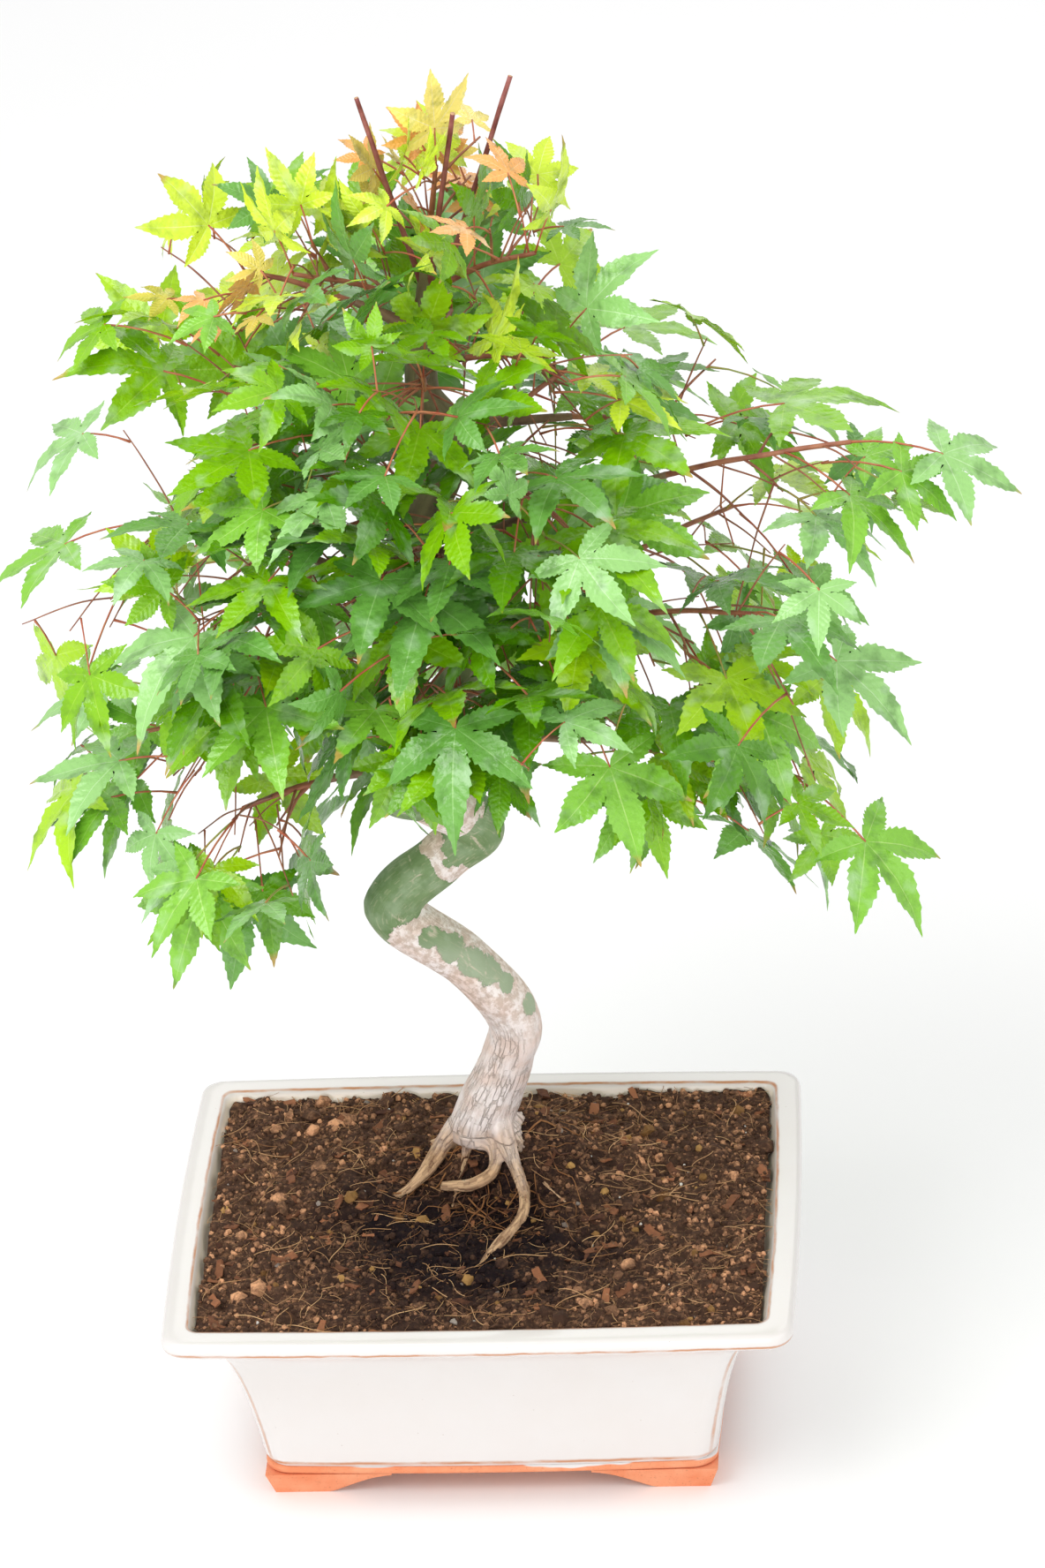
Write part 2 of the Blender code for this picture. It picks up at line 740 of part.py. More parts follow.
def tip_leaf(mass):
    """The leaf whose middle lobe ends exactly at the mass's tip."""
    droop = TIP_DROOP * (1 - max(0.0, mass.outward.z))
    lobe_way, face_way = leaf_ways(mass, mass.outward, droop)
    size = BLADE_LENGTH * mass.leaf_share * mass.random.uniform(1.0, 1.0 + BLADE_VARIATION)
    leaf = Leaf(mass.tip, mass.outward, 0, lobe_way, face_way, size)
    leaf.joint += mass.tip - leaf.outline()[0]
    leaf.foot = leaf.joint - mass.outward * STALK_LENGTH * mass.leaf_share * TIP_STALK_SHARE
    return leaf


def way_out(start, end):
    """The line from the trunk to the foot of the tip leaf, lifted a little in the middle."""
    middle = start.lerp(end, 0.5) + UP * (end - start).length * BOUGH_LIFT
    line = []
    for step in range(WAY_STEPS + 1):
        t = step / WAY_STEPS
        line.append(start * (1 - t) ** 2 + middle * 2 * t * (1 - t) + end * t ** 2)
    return line


def read_line(line, share):
    """The point at a share of a line's steps."""
    place = share * (len(line) - 1)
    index = min(int(place), len(line) - 2)
    return line[index].lerp(line[index + 1], place - index)


def line_distance(point, start, end):
    """How far a point is from a straight stretch."""
    along = end - start
    share = max(0.0, min(1.0, (point - start).dot(along) / along.length_squared))
    return (point - start - along * share).length


class Crown:
    """All that has grown so far: the limbs' shell, and a shell for each twig, stalk and blade."""

    def __init__(self, masses, limbs):
        self.masses = masses
        self.limbs = limbs
        self.shells = []

    def free(self, vertices, faces, foot):
        """True if a shape is off every limb and off all that grew before, but for what it grows
        from at its foot."""
        tree = BVHTree.FromPolygons(vertices, faces)
        if self.limbs.overlap(tree):
            return False
        middle = sum(vertices, Vector()) / len(vertices)
        reach = max((vertex - middle).length for vertex in vertices)
        for shell, centre, radius, ends in self.shells:
            if (centre - middle).length > radius + reach:
                continue
            if foot and ends and line_distance(foot, *ends) < FOOT_CLEARANCE:
                continue
            if shell.overlap(tree):
                return False
        return True

    def keep(self, vertices, faces, ends):
        middle = sum(vertices, Vector()) / len(vertices)
        reach = max((vertex - middle).length for vertex in vertices)
        self.shells.append((BVHTree.FromPolygons(vertices, faces), middle, reach, ends))

    def add_stem(self, mass, stops):
        """Grow the mass's stem, which always has its room, tapering from node to node."""
        for index, stop in enumerate(stops):
            share = index / (len(stops) - 1)
            mass.stem.append((stop, STEM_RADIUS + (STEM_END_RADIUS - STEM_RADIUS) * share))
        for start, end in zip(mass.stem, mass.stem[1:]):
            vertices, faces = tube_shell([start, end], GAP, TWIG_SIDES)
            self.keep(vertices, faces, (start[0], end[0]))

    def add_shoot(self, mass, start, end):
        """Grow a side shoot if it has room."""
        path = [(start, SHOOT_RADIUS), (end, SHOOT_TIP_RADIUS)]
        vertices, faces = tube_shell(path, GAP, TWIG_SIDES)
        if not holds(mass, self.masses, [end]) or not self.free(vertices, faces, start):
            return False
        mass.shoots.append((start, end))
        self.keep(vertices, faces, (start, end))
        return True

    def add_leaf(self, mass, leaf, sure=False):
        """Grow a leaf if its stalk and blade have room."""
        vertices, faces = leaf.shell()
        path = [(leaf.foot, STALK_RADIUS), (leaf.joint, STALK_RADIUS)]
        stalk, stalk_faces = tube_shell(path, GAP, TWIG_SIDES)
        if not sure:
            if not holds(mass, self.masses, vertices):
                return False
            if not self.free(vertices, faces, None) or not self.free(stalk, stalk_faces, leaf.foot):
                return False
        mass.leaves.append(leaf)
        self.keep(vertices, faces, ())
        self.keep(stalk, stalk_faces, (leaf.foot, leaf.foot.lerp(leaf.joint, 0.1)))
        return True


def grow_pair(crown, mass, place, along):
    """A pair of leaves on opposite sides of a shoot's end or node; returns how many found room."""
    rng = mass.random
    side = along.orthogonal().normalized()
    side.rotate(Matrix.Rotation(rng.uniform(0, math.tau), 3, along))
    made = 0
    for sign in (1, -1):
        for attempt in range(LEAF_ATTEMPTS):
            spread = side * sign * rng.uniform(*STALK_SPREAD_RANGE)
            forward = along * rng.uniform(*STALK_FORWARD_RANGE)
            way = forward + spread + UP * STALK_RISE + mass.stray() * STALK_STRAY
            stalk_way = way.normalized()
            lobe_way, face_way = leaf_ways(mass, stalk_way, rng.uniform(*LEAF_DROOP_RANGE))
            length = STALK_LENGTH * mass.leaf_share * rng.uniform(*STALK_LENGTH_RANGE)
            size = BLADE_LENGTH * mass.leaf_share
            size *= rng.uniform(1 - BLADE_VARIATION, 1 + BLADE_VARIATION)
            if crown.add_leaf(mass, Leaf(place, stalk_way, length, lobe_way, face_way, size)):
                made += 1
                break
    return made


def grow_shoot(crown, mass, place, along):
    """A side shoot that ends in a pair of leaves; it is left out if neither finds room."""
    rng = mass.random
    side = along.orthogonal().normalized()
    side.rotate(Matrix.Rotation(rng.uniform(0, math.tau), 3, along))
    way = (along * rng.uniform(*SHOOT_FORWARD_RANGE) + side).normalized()
    end = place + way * SHOOT_LENGTH * mass.leaf_share * rng.uniform(*SHOOT_LENGTH_RANGE)
    if not crown.add_shoot(mass, place, end):
        return
    if grow_pair(crown, mass, end.lerp(place, NODE_SETBACK), way) == 0:
        mass.shoots.pop()
        crown.shells.pop()


def stem_stops(mass, line):
    """The nodes of the mass's stem, from its foot at the bough's tip out to its tip leaf."""
    start_share = mass.share + STEM_START_GAP / (line[-1] - line[0]).length
    length = (line[-1] - read_line(line, start_share)).length
    steps = max(2, round(length / NODE_SPACING))
    shares = [start_share + (1 - start_share) * step / steps for step in range(steps + 1)]
    return [read_line(line, share) for share in shares]


def grow_crown(crown, stems):
    """Every stem with its tip leaf first, then a pair of leaves at each node, then side shoots,
    each mass in its turn until it is full."""
    for mass, stops in stems:
        crown.add_stem(mass, stops)
        crown.add_leaf(mass, mass.end_leaf, sure=True)
    for attempt in range(SHOOT_ATTEMPTS):
        for mass, stops in stems:
            if len(mass.leaves) >= LEAVES_PER_MASS:
                continue
            if attempt < len(stops) - 1:
                step = len(stops) - 1 - attempt
                place = stops[step].lerp(stops[step - 1], NODE_SETBACK)
                grow_pair(crown, mass, place, (stops[step] - stops[step - 1]).normalized())
            else:
                step = mass.random.randint(1, len(stops) - 1)
                place = stops[step].lerp(stops[step - 1], mass.random.uniform(*SHOOT_PLACE_RANGE))
                grow_shoot(crown, mass, place, (stops[step] - stops[step - 1]).normalized())


# Solids of the crown

def leaf_mesh(leaf):
    """A leaf as one closed solid: a thin blade whose two sides fan out from the joint to the lobes,
    and the three-sided stalk that runs from it into the twig."""
    bm = bmesh.new()
    outline = [bm.verts.new(place) for place in leaf.outline()]
    base = outline.pop(len(outline) // 2)
    face = leaf.turn.col[2]
    across = leaf.turn.col[1]
    upper = bm.verts.new(leaf.joint + face * BLADE_THICKNESS / 2)
    lower = bm.verts.new(leaf.joint - face * BLADE_THICKNESS / 2)
    corners = (across * STALK_RADIUS, face * STALK_RADIUS, across * -STALK_RADIUS)
    neck = [bm.verts.new(base.co + corner) for corner in corners]
    shrink = STALK_FOOT_RADIUS / STALK_RADIUS
    foot = [bm.verts.new(leaf.foot + corner * shrink) for corner in corners]
    bm.verts.remove(base)
    left = outline[:len(outline) // 2 + 1]
    right = outline[len(outline) // 2 + 1:]
    rim = [*left, *neck, *right]
    for here, after in zip(rim, rim[1:] + rim[:1]):
        bm.faces.new((here, after, upper))
    rim = [*left, neck[0], neck[2], *right]
    for here, after in zip(rim, rim[1:] + rim[:1]):
        bm.faces.new((after, here, lower))
    for index in range(3):
        after = (index + 1) % 3
        bm.faces.new((neck[after], neck[index], foot[index], foot[after]))
    bm.faces.new(foot)
    bmesh.ops.recalc_face_normals(bm, faces=bm.faces)
    return mesh_from(bm, "leaf")


def shoot_mesh(start, end):
    """A three-sided tapering shoot whose foot is sunk in the stem."""
    along = end - start
    bm = bmesh.new()
    turn = along.to_track_quat("Z", "Y").to_matrix().to_4x4()
    place = Matrix.Translation(start.lerp(end, 0.5)) @ turn
    bmesh.ops.create_cone(
        bm, cap_ends=True, segments=TWIG_SIDES, radius1=SHOOT_RADIUS, radius2=SHOOT_TIP_RADIUS,
        depth=along.length, matrix=place,
    )
    return mesh_from(bm, "shoot")


def stem_mesh(path):
    """The three-sided tapering stem of a mass, through all its nodes, capped at both ends."""
    vertices, faces = tube_shell(path, 0, TWIG_SIDES)
    bm = bmesh.new()
    points = [bm.verts.new(place) for place in vertices]
    for face in faces:
        bm.faces.new([points[corner] for corner in face])
    bm.faces.new(points[:TWIG_SIDES])
    bm.faces.new(points[-TWIG_SIDES:])
    bmesh.ops.recalc_face_normals(bm, faces=bm.faces)
    return mesh_from(bm, "stem")


def make_mass(parts, mass, kind):
    """The mass as one solid: its stem with every twig, stalk and blade joined to it."""
    pieces = new_collection("pieces_" + mass.name)
    stem = add_object("foliage_" + mass.name, stem_mesh(mass.stem), parts, kind)
    for start, end in mass.shoots:
        add_object("shoot", shoot_mesh(start, end), pieces, kind)
    for leaf in mass.leaves:
        add_object("leaf", leaf_mesh(leaf), pieces, kind)
    join_collection(stem, pieces)
    return stem


def limb_shells(limbs):
    """One shell round all the limbs, wider than they are, that no twig or leaf may touch."""
    vertices = []
    faces = []
    for path in limbs:
        shell_vertices, shell_faces = tube_shell(path, LIMB_CLEARANCE)
        faces += [tuple(len(vertices) + corner for corner in face) for face in shell_faces]
        vertices += shell_vertices
    return BVHTree.FromPolygons(vertices, faces)


def make_crown(parts, cutters, trunk_path):
    """Boughs, stubs and masses. A mass with no bough has its stem on the trunk itself."""
    masses = [Mass(row, index, trunk_path) for index, row in enumerate(MASSES)]
    limbs = {}
    stems = []
    for mass in masses:
        mass.end_leaf = tip_leaf(mass)
        line = way_out(mass.root, mass.end_leaf.foot)
        stems.append((mass, stem_stops(mass, line)))
        if mass.share > 0:
            path = []
            for step in range(BOUGH_POINTS):
                t = step / (BOUGH_POINTS - 1)
                radius = BOUGH_RADIUS + (BOUGH_TIP_RADIUS - BOUGH_RADIUS) * t
                path.append((read_line(line, mass.share * t), radius))
            limbs["bough_" + mass.name] = path
    for name, foot, tip in STUBS:
        tip_radius = STUB_RADIUS * STUB_TIP_SHARE
        limbs[name] = [(Vector(foot) * MM, STUB_RADIUS), (Vector(tip) * MM, tip_radius)]
    crown = Crown(masses, limb_shells([trunk_path, *limbs.values()]))
    grow_crown(crown, stems)

    wider_trunk = [(place, radius + GAP) for place, radius in trunk_path]
    top, top_radius = wider_trunk[-1]
    wider_trunk[-1] = (top + UP * GAP, top_radius)
    bark_cutter = limb_object("bark_cutter", wider_trunk, cutters, "bark", TRUNK_ROUNDNESS)
    bark_cutter.hide_render = True
    bark_cutter.display_type = "WIRE"
    made = []
    for name, path in limbs.items():
        bough = limb_object(name, path, parts, "young_bark", LIMB_ROUNDNESS)
        boolean(bough, "DIFFERENCE", bark_cutter)
        keep_main_body(bough)
        shade_round(bough)
        made.append(bough)
    for mass in masses:
        solid = make_mass(parts, mass, FOLIAGE_FINISH.get(mass.name, "leaf"))
        if mass.share == 0:
            boolean(solid, "DIFFERENCE", bark_cutter, solver="MANIFOLD")
        keep_main_body(solid)
        made.append(solid)
    return made


def plan_centre(pieces):
    """The middle of the pieces' bounding box, seen from above."""
    corners = [vertex.co for piece in pieces for vertex in piece.data.vertices]
    spans = []
    for axis in (0, 1):
        values = [corner[axis] for corner in corners]
        spans.append((min(values) + max(values)) / 2)
    return Vector((*spans, 0))


def main():
    clear_scene()
    parts = new_collection(NAME)
    cutters = new_collection("cutters")
    root = bpy.data.objects.new("plant_root", None)
    parts.objects.link(root)
    trunk_path = smooth_path(TRUNK_BENDS, TRUNK_RING_SPACING)
    pieces = make_pot(parts, cutters)
    pieces.append(make_soil(parts))
    pieces.append(make_trunk(parts, cutters, trunk_path))
    pieces += make_crown(parts, cutters, trunk_path)
    for piece in pieces:
        piece.parent = root
    root.location = -plan_centre(pieces)


main()
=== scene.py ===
"""Japanese maple bonsai in a cream glazed pot: the finish of every surface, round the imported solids.

Trunk and boughs get bark with relief. The crown grows again by the rule of the solids, then on to
finer twigs and more leaves within the same reach. X runs along the pot, Y away from its front.
"""

import math
import random

import bmesh
import bpy
import numpy as np
from bpy.props import FloatProperty, FloatVectorProperty, IntProperty, PointerProperty
from mathutils import Matrix, Vector, noise
from mathutils.bvhtree import BVHTree
from mathutils.kdtree import KDTree


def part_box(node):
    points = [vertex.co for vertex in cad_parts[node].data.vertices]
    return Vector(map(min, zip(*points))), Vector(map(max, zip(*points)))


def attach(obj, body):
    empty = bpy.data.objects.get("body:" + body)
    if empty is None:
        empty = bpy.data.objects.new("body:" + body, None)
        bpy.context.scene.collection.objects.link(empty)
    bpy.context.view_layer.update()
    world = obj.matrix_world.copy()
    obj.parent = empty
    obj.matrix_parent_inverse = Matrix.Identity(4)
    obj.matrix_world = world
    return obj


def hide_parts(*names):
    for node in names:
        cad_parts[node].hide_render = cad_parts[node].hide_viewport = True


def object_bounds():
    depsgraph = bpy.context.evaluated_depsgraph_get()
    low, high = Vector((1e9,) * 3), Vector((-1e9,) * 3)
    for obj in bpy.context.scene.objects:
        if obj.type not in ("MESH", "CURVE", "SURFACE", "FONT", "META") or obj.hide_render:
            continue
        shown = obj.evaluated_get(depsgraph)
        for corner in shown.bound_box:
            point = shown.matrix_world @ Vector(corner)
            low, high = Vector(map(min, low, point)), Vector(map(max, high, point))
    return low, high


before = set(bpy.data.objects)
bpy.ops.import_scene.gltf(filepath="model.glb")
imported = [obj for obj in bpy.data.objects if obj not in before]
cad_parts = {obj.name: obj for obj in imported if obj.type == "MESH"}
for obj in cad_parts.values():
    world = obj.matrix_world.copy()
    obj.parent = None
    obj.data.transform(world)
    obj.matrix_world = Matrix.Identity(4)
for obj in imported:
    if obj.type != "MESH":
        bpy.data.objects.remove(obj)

CAD_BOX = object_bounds()

bl_info = {
    "name": "Japanese maple bonsai",
    "version": (1, 0, 0),
    "blender": (4, 5, 0),
    "location": "3D View > Sidebar > Bonsai",
    "description": "Builds a potted dwarf maple with bark, leaves, soil and glazed pot",
    "category": "Add Mesh",
}

MM = 0.001
GAP = 0.3 * MM
SEED = 41
BODY = "root"
UP = Vector((0, 0, 1))
FRONT = Vector((0, -1, 0))

# The middle of the pot in plan. Every shape below is worked out from it and moved there at the end.
PLAN = (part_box("pot_body")[0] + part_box("pot_body")[1]) / 2
PLAN.z = 0

# Pot, as in the solids: a rounded rectangle whose half depth is its half length less a fixed amount.
LENGTH_LESS_DEPTH = 23 * MM
FOOT_HEIGHT = 9.5 * MM
BAND_TOP = 12.7 * MM
BAND_EDGE = 0.7 * MM
GLAZE_RUN = 9 * MM
BASE_HALF_LENGTH = 80.5 * MM
FLOOR_TOP = 20 * MM
CORNER_RADIUS = 9 * MM
INNER_CORNER_RADIUS = 4.5 * MM
CORNER_STEPS = 9
SIDE_STEPS = 14
SIDE_BOW = 1.5 * MM
DRAIN_RADIUS = 8 * MM
DRAIN_OFFSET = 38 * MM
FOOT_LENGTH = 45 * MM
FOOT_DEPTH = 34 * MM
FOOT_DRAFT = 3.0 * MM
FOOT_SOLE_SHARE = 0.49
# The bracket's sweep up from the sole to the band, as shares of the foot's length and height.
FOOT_SWEEP = (
    (0.53, 0.05), (0.57, 0.14), (0.62, 0.26), (0.67, 0.38), (0.72, 0.50), (0.77, 0.61), (0.82, 0.71),
    (0.88, 0.80), (0.94, 0.86), (1.0, 0.90),
)
# The pot's section as (height, half length) in mm: up the outside, round the lip and down inside.
WALL_OUTSIDE = (
    (13, 79), (14.5, 80.5), (30, 83), (48, 86.5), (62, 90.5), (70, 95), (75.5, 101.5), (79, 108.6),
)
LIP = ((81.5, 110), (84, 109.6), (85.4, 107.8), (85.4, 102.2), (84.4, 100.6))
WALL_INSIDE = ((79, 98), (75, 93.5), (70, 88.5), (62, 84), (48, 80), (30, 76.5), (20, 75))
# Where the glaze runs thin, as (height, half length) in mm.
INNER_EDGE = (84.9, 101.4)
OUTER_EDGE = (80.4, 109.5)
GLAZE_END = (14.0, 80.2)
SECTION_SPACING = 1.1 * MM
RIM_LEVELS = 10

# Soil surface: a grid between the walls, rising from the wall to a level patch.
SOIL_HALF_LENGTH = 98.9 * MM
SOIL_WALL_HEIGHT = 82.4 * MM
SOIL_TOP = 83.2 * MM
SOIL_RISE_WIDTH = 22 * MM
SOIL_SKIRT = 10 * MM
# The middle of the damp patch, forward of the trunk. The soil is paler with distance from it, so the back,
# which the crown shades, is painted paler: partly dryness, partly painted light.
DAMP_PLACE = Vector((-8, -20, 82)) * MM
DAMP_RADIUS = 54 * MM
SOIL_COLUMNS = 190
SOIL_ROWS = 150
CRUMBS_TO_A_CLOD = 55
FINE_TO_COARSE = 1.6
# Noise on the soil's height, as (size, height) in mm.
SOIL_GRAINS = ((24, 2.2), (9, 2.4), (3.4, 1.5))
# Soil heaped behind the trunk and washed out before it, as (x, y), radius and height in mm.
MOUNDS = (
    ((-2, 37), 26, 4), ((18, 25), 17, 14), ((12, 44), 15, 6), ((-3, 27), 12, 7),
    ((-8, 4), 12, -4.5), ((14, -9), 10, -2.5), ((-34, -12), 16, -2.5), ((60, 30), 30, 2),
    ((-62, 18), 26, 2), ((36, -30), 22, -2),
)

# Trunk and roots, as in the solids.
TRUNK_BENDS = (
    (-4, 31, 70, 12.0), (-3, 30, 100, 11.5), (8, 27, 130, 9.3), (11, 24, 150, 9.6),
    (-4, 21, 174, 9.4), (-28, 20, 197, 9.8), (-10, 22, 216, 9.4), (3, 23, 228, 9.6),
    (-12, 9, 247, 9.0), (-23, 3, 259, 8.8), (2, 12, 296, 7.8), (-20, 18, 322, 7.4),
    (3, 15, 378, 6.4), (-5, 12, 404, 5.8), (-2, 12, 430, 4.4), (0, 11, 452, 3.0),
)
TRUNK_RING_SPACING = 9 * MM
# Roots: the hidden ones by the rule of the solids, as direction, reach, start height, radius and
# curl; the bared ones in front as (x, y, height, radius) stops.
ROOTS = ((140, 30, 98, 4.6, 5), (55, 28, 98, 4.6, -5), (172, 26, 99, 3.4, -6))
BARED_ROOTS = (
    (
        (-3, 33, 110, 6.4), (-9, 33, 101, 5.2), (-17, 27, 93, 3.6), (-24, 17, 87.5, 2.2),
        (-31, 11, 84, 1.4), (-38, 8, 82, 0.8),
    ),
    (
        (2, 27, 109, 6.0), (6, 19, 100, 4.2), (10, 9, 94, 2.8), (13, 0, 90, 2.4), (13, -11, 88, 2.1),
        (8, -21, 86, 1.8), (1, -30, 83, 1.3), (-3, -36, 80, 0.8),
    ),
    (
        (0, 29, 107, 5.2), (2, 21, 97, 3.6), (2, 12, 92, 2.6), (-5, 7.5, 89, 2.3), (-13, 9.5, 87, 2.2),
        (-17, 12, 85.5, 1.8),
    ),
    ((-6, 30, 101, 3.4), (-9, 21, 90, 2.0), (-12, 11, 83.5, 1.2), (-14, 3, 79, 0.8)),
    ((12, 4, 92, 1.4), (14.5, -6, 89, 1.1), (14, -15, 87, 0.7)),
    ((8, 26, 101, 3.4), (14, 20, 94, 1.5), (20, 15, 89, 0.9), (27, 11, 84, 0.5)),
    ((9, 31, 102, 4.0), (15, 29, 97, 1.8), (21, 28, 92, 1.1), (28, 29, 86, 0.6)),
    ((9, 23, 97, 1.8), (16, 13, 90.5, 1.0), (23, 5, 87, 0.7), (29, 0, 84, 0.5)),
)
TRUNK_FOOT = 95 * MM
ROOTS_END = 101 * MM
CUT_DEPTH = 2.5 * MM
# How far a tube's end domes out, as a share of its radius.
DOME = 0.4

# Hair roots round the foot: how many, and ranges in mm and degrees.
ROOTLETS = 46
ROOTLET_SEED = 11
ROOTLET_CENTRE = Vector((0, 24, 0)) * MM
ROOTLET_TURN = (165, 375)
ROOTLET_START = (8, 26)
ROOTLET_LENGTH = (10, 34)
ROOTLET_RADIUS = (0.16, 0.45)
ROOTLET_LIFT = (0.5, 3.0)
ROOTLET_CLEARANCE = 0.4 * MM
ROOTLET_BEND = 0.6
ROOTLET_STRAY = 0.12
ROOTLET_TAPER = 0.7
ROOTLET_SPACING = 2.5 * MM
ROOTLET_POINTS = 7
ROOTLET_SIDES = 5
ROOT_POINTS = 7
ROOT_END_DEPTH = 5 * MM
ROOT_FALL_POWER = 0.85
ROOT_START_SWELL = 1.25
ROOT_END_SHARE = 0.5

# Bark relief: fissures are long and narrow, and fade up the trunk; knots are old branch scars.
BARK_VOXEL = 0.66 * MM
BARK_SPACING = 2 * MM
TRUNK_SIDES = 28
FISSURE_WIDTH = 1.7
FISSURE_LENGTH = 8.0
FISSURE_DEPTH = 0.42 * MM
RIDGE_SHARPNESS = 3.2
YOUNG_CRACKS = 0.06
FLUTE_WIDTH = 5 * MM
FLUTE_LENGTH = 40 * MM
FLUTE_DEPTH = 0.5 * MM
SMOOTH_BARK_HEIGHT = 156 * MM
SMOOTH_BARK_FADE = 34 * MM
LUMP_SIZE = 13.0
LUMP_HEIGHT = 0.55 * MM
KNOT_REACH = 2.5
KNOTS = (
    ((6, 15, 160), 4.5, 1.5), ((2, 13, 168), 3.0, 0.7), ((19, 18, 136), 5.5, 1.0),
    ((-36, 16, 199), 5.5, 1.2), ((10, 16, 228), 5.5, 1.3), ((-16, 12, 215), 4.0, 0.9),
    ((-30, -3, 262), 5.0, 1.4),
)

# Heights over which the cork turns flaky, the roots' tan and thin jade end, and olive sets in.
FLAKY_HEIGHTS = (0.138, 0.156)
ROOT_HEIGHTS = (0.112, 0.098)
THIN_JADE_HEIGHTS = (0.192, 0.182)
OLIVE_HEIGHTS = (0.262, 0.33)

# Where the cork is thin and the bark shows green: past a distance along the trunk, but for two
# corky scars, and in patches before it, as (x, y, height) and radius in mm.
GREEN_START = 112 * MM
GREEN_FADE = 3 * MM
GREEN_WANDER = 5 * MM
GREEN_WANDER_LENGTH = 9 * MM
PATCH_REACH = 1.25
PATCH_SHARPNESS = 1.6
CORKY_SCARS = ((143, 153), (175, 197))
JADE_PATCHES = (
    ((-15, 12.5, 189), 4.5), ((-8, 12, 185), 6.0), ((-1, 12.5, 179), 6.0), ((6, 13.5, 174), 6.0),
    ((12, 15, 169), 5.0), ((19, 19, 157), 4.5),
)

# Crown, as in the solids: name, direction in degrees (0 right, 90 back, 270 front), reach, height of
# the furthest tip, height where its limb leaves the trunk, in mm, and the bough's share of the way.
# Last, how full of leaves the mass is here, where the photo's crown is more open in some.
MASSES = (
    ("apex", 320, 4, 524, 500, 0.0, 0.7),
    ("top_right", 345, 50, 500, 440, 0.0, 0.6),
    ("top_left", 196, 52, 496, 434, 0.0, 0.75),
    ("upper_left", 172, 92, 482, 424, 0.40, 0.7),
    ("upper_right", 352, 78, 460, 412, 0.35, 0.6),
    ("upper_front", 268, 86, 458, 408, 0.35, 1.0),
    ("upper_back", 88, 88, 446, 404, 0.35, 0.55),
    ("shoulder_left", 186, 127, 424, 396, 0.45, 0.5),
    ("shoulder_right", 10, 154, 380, 388, 0.50, 0.3),
    ("shoulder_front_left", 246, 114, 396, 378, 0.40, 1.0),
    ("shoulder_front_right", 306, 128, 378, 372, 0.40, 1.0),
    ("shoulder_back_left", 135, 124, 388, 384, 0.45, 0.45),
    ("shoulder_back_right", 52, 128, 376, 366, 0.45, 0.45),
    ("middle_right", 356, 196, 361, 330, 0.60, 0.45),
    ("middle_left", 183, 155, 331, 324, 0.50, 0.5),
    ("middle_front_left", 224, 140, 330, 312, 0.45, 1.0),
    ("middle_front", 266, 112, 350, 338, 0.0, 1.0),
    ("middle_front_right", 334, 172, 306, 302, 0.50, 0.6),
    ("middle_back", 96, 146, 326, 316, 0.45, 0.6),
    ("low_front", 273, 122, 301, 300, 0.40, 1.0),
    ("low_left", 194, 152, 242, 284, 0.55, 0.55),
    ("low_front_left", 212, 112, 208, 262, 0.50, 0.5),
    ("low_front_right", 302, 124, 277, 286, 0.40, 0.45),
    ("low_right", 333, 178, 237, 272, 0.55, 0.45),
    ("low_back_right", 36, 172, 286, 296, 0.50, 0.5),
    ("low_back_left", 136, 152, 266, 282, 0.50, 0.5),
)
CROWN_TOP = (
    (-158, 325), (-130, 425), (-92, 488), (-34, 500), (2, 526), (45, 496), (61, 464), (100, 428),
    (151, 394), (197, 358),
)
CROWN_FOOT = (
    (-158, 284), (-152, 222), (-132, 192), (-95, 168), (-57, 181), (-36, 208), (-28, 232), (28, 228),
    (48, 216), (101, 216), (132, 186), (160, 187), (172, 258), (197, 350),
)
FALL_WITH_DEPTH = 0.57
SHIFT_WITH_DEPTH = 0.08
OUTLINE_SLACK = 2 * MM
CROWN_HEART = Vector((0, 12, 345)) * MM
SPACE_CENTRE_SHARE = 0.64
SPACE_LAP = 18 * MM
BOUGH_RADIUS = 3.4 * MM
BOUGH_TIP_RADIUS = 1.7 * MM
BOUGH_LIFT = 0.10
WAY_STEPS = 24
BOUGH_POINTS = 5
STUBS = (
    ("stub_left", (-1, 11, 436), (-20, 10, 512)),
    ("stub_middle", (-1, 11, 438), (13, -9, 514)),
    ("stub_right", (0, 12, 430), (30, 24, 512)),
)
STUB_RADIUS = 1.5 * MM
STUB_TIP_SHARE = 0.8

BLADE_LENGTH = 45 * MM
BLADE_VARIATION = 0.12
YOUNG_LEAF_SHARE = 0.55
FULL_LEAF_HEIGHT = 410 * MM
APEX_HEIGHT = 524 * MM
BLADE_THICKNESS = 2.2 * MM
LOBES = ((0, 1.0), (43, 0.93), (95, 0.66))
NOTCHES = ((21.5, 0.50), (69, 0.42))
BASE_SHARE = 0.12
BLADE_DROOP = 0.20
BLADE_ROOM = 1.04
STALK_LENGTH = 24 * MM
STALK_RADIUS = 0.65 * MM
TIP_STALK_SHARE = 0.7
TIP_DROOP = 0.45
LOBE_OUTWARD = 0.5
FACE_UP = 0.9
FACE_OUT = 0.55
FACE_FRONT = 0.1
LEAF_STRAY = 0.25
LEAF_DROOP_RANGE = (0.1, 0.6)
STALK_FORWARD_RANGE = (0.2, 1.0)
STALK_SPREAD_RANGE = (0.6, 1.3)
STALK_LENGTH_RANGE = (0.6, 1.35)
STALK_RISE = 0.25
STALK_STRAY = 0.4
TWIG_SIDES = 3
STEM_RADIUS = 1.9 * MM
STEM_END_RADIUS = 1.3 * MM
SHOOT_RADIUS = 1.0 * MM
SHOOT_TIP_RADIUS = 0.95 * MM
SHOOT_LENGTH = 34 * MM
SHOOT_LENGTH_RANGE = (0.5, 1.4)
SHOOT_FORWARD_RANGE = (0.2, 1.0)
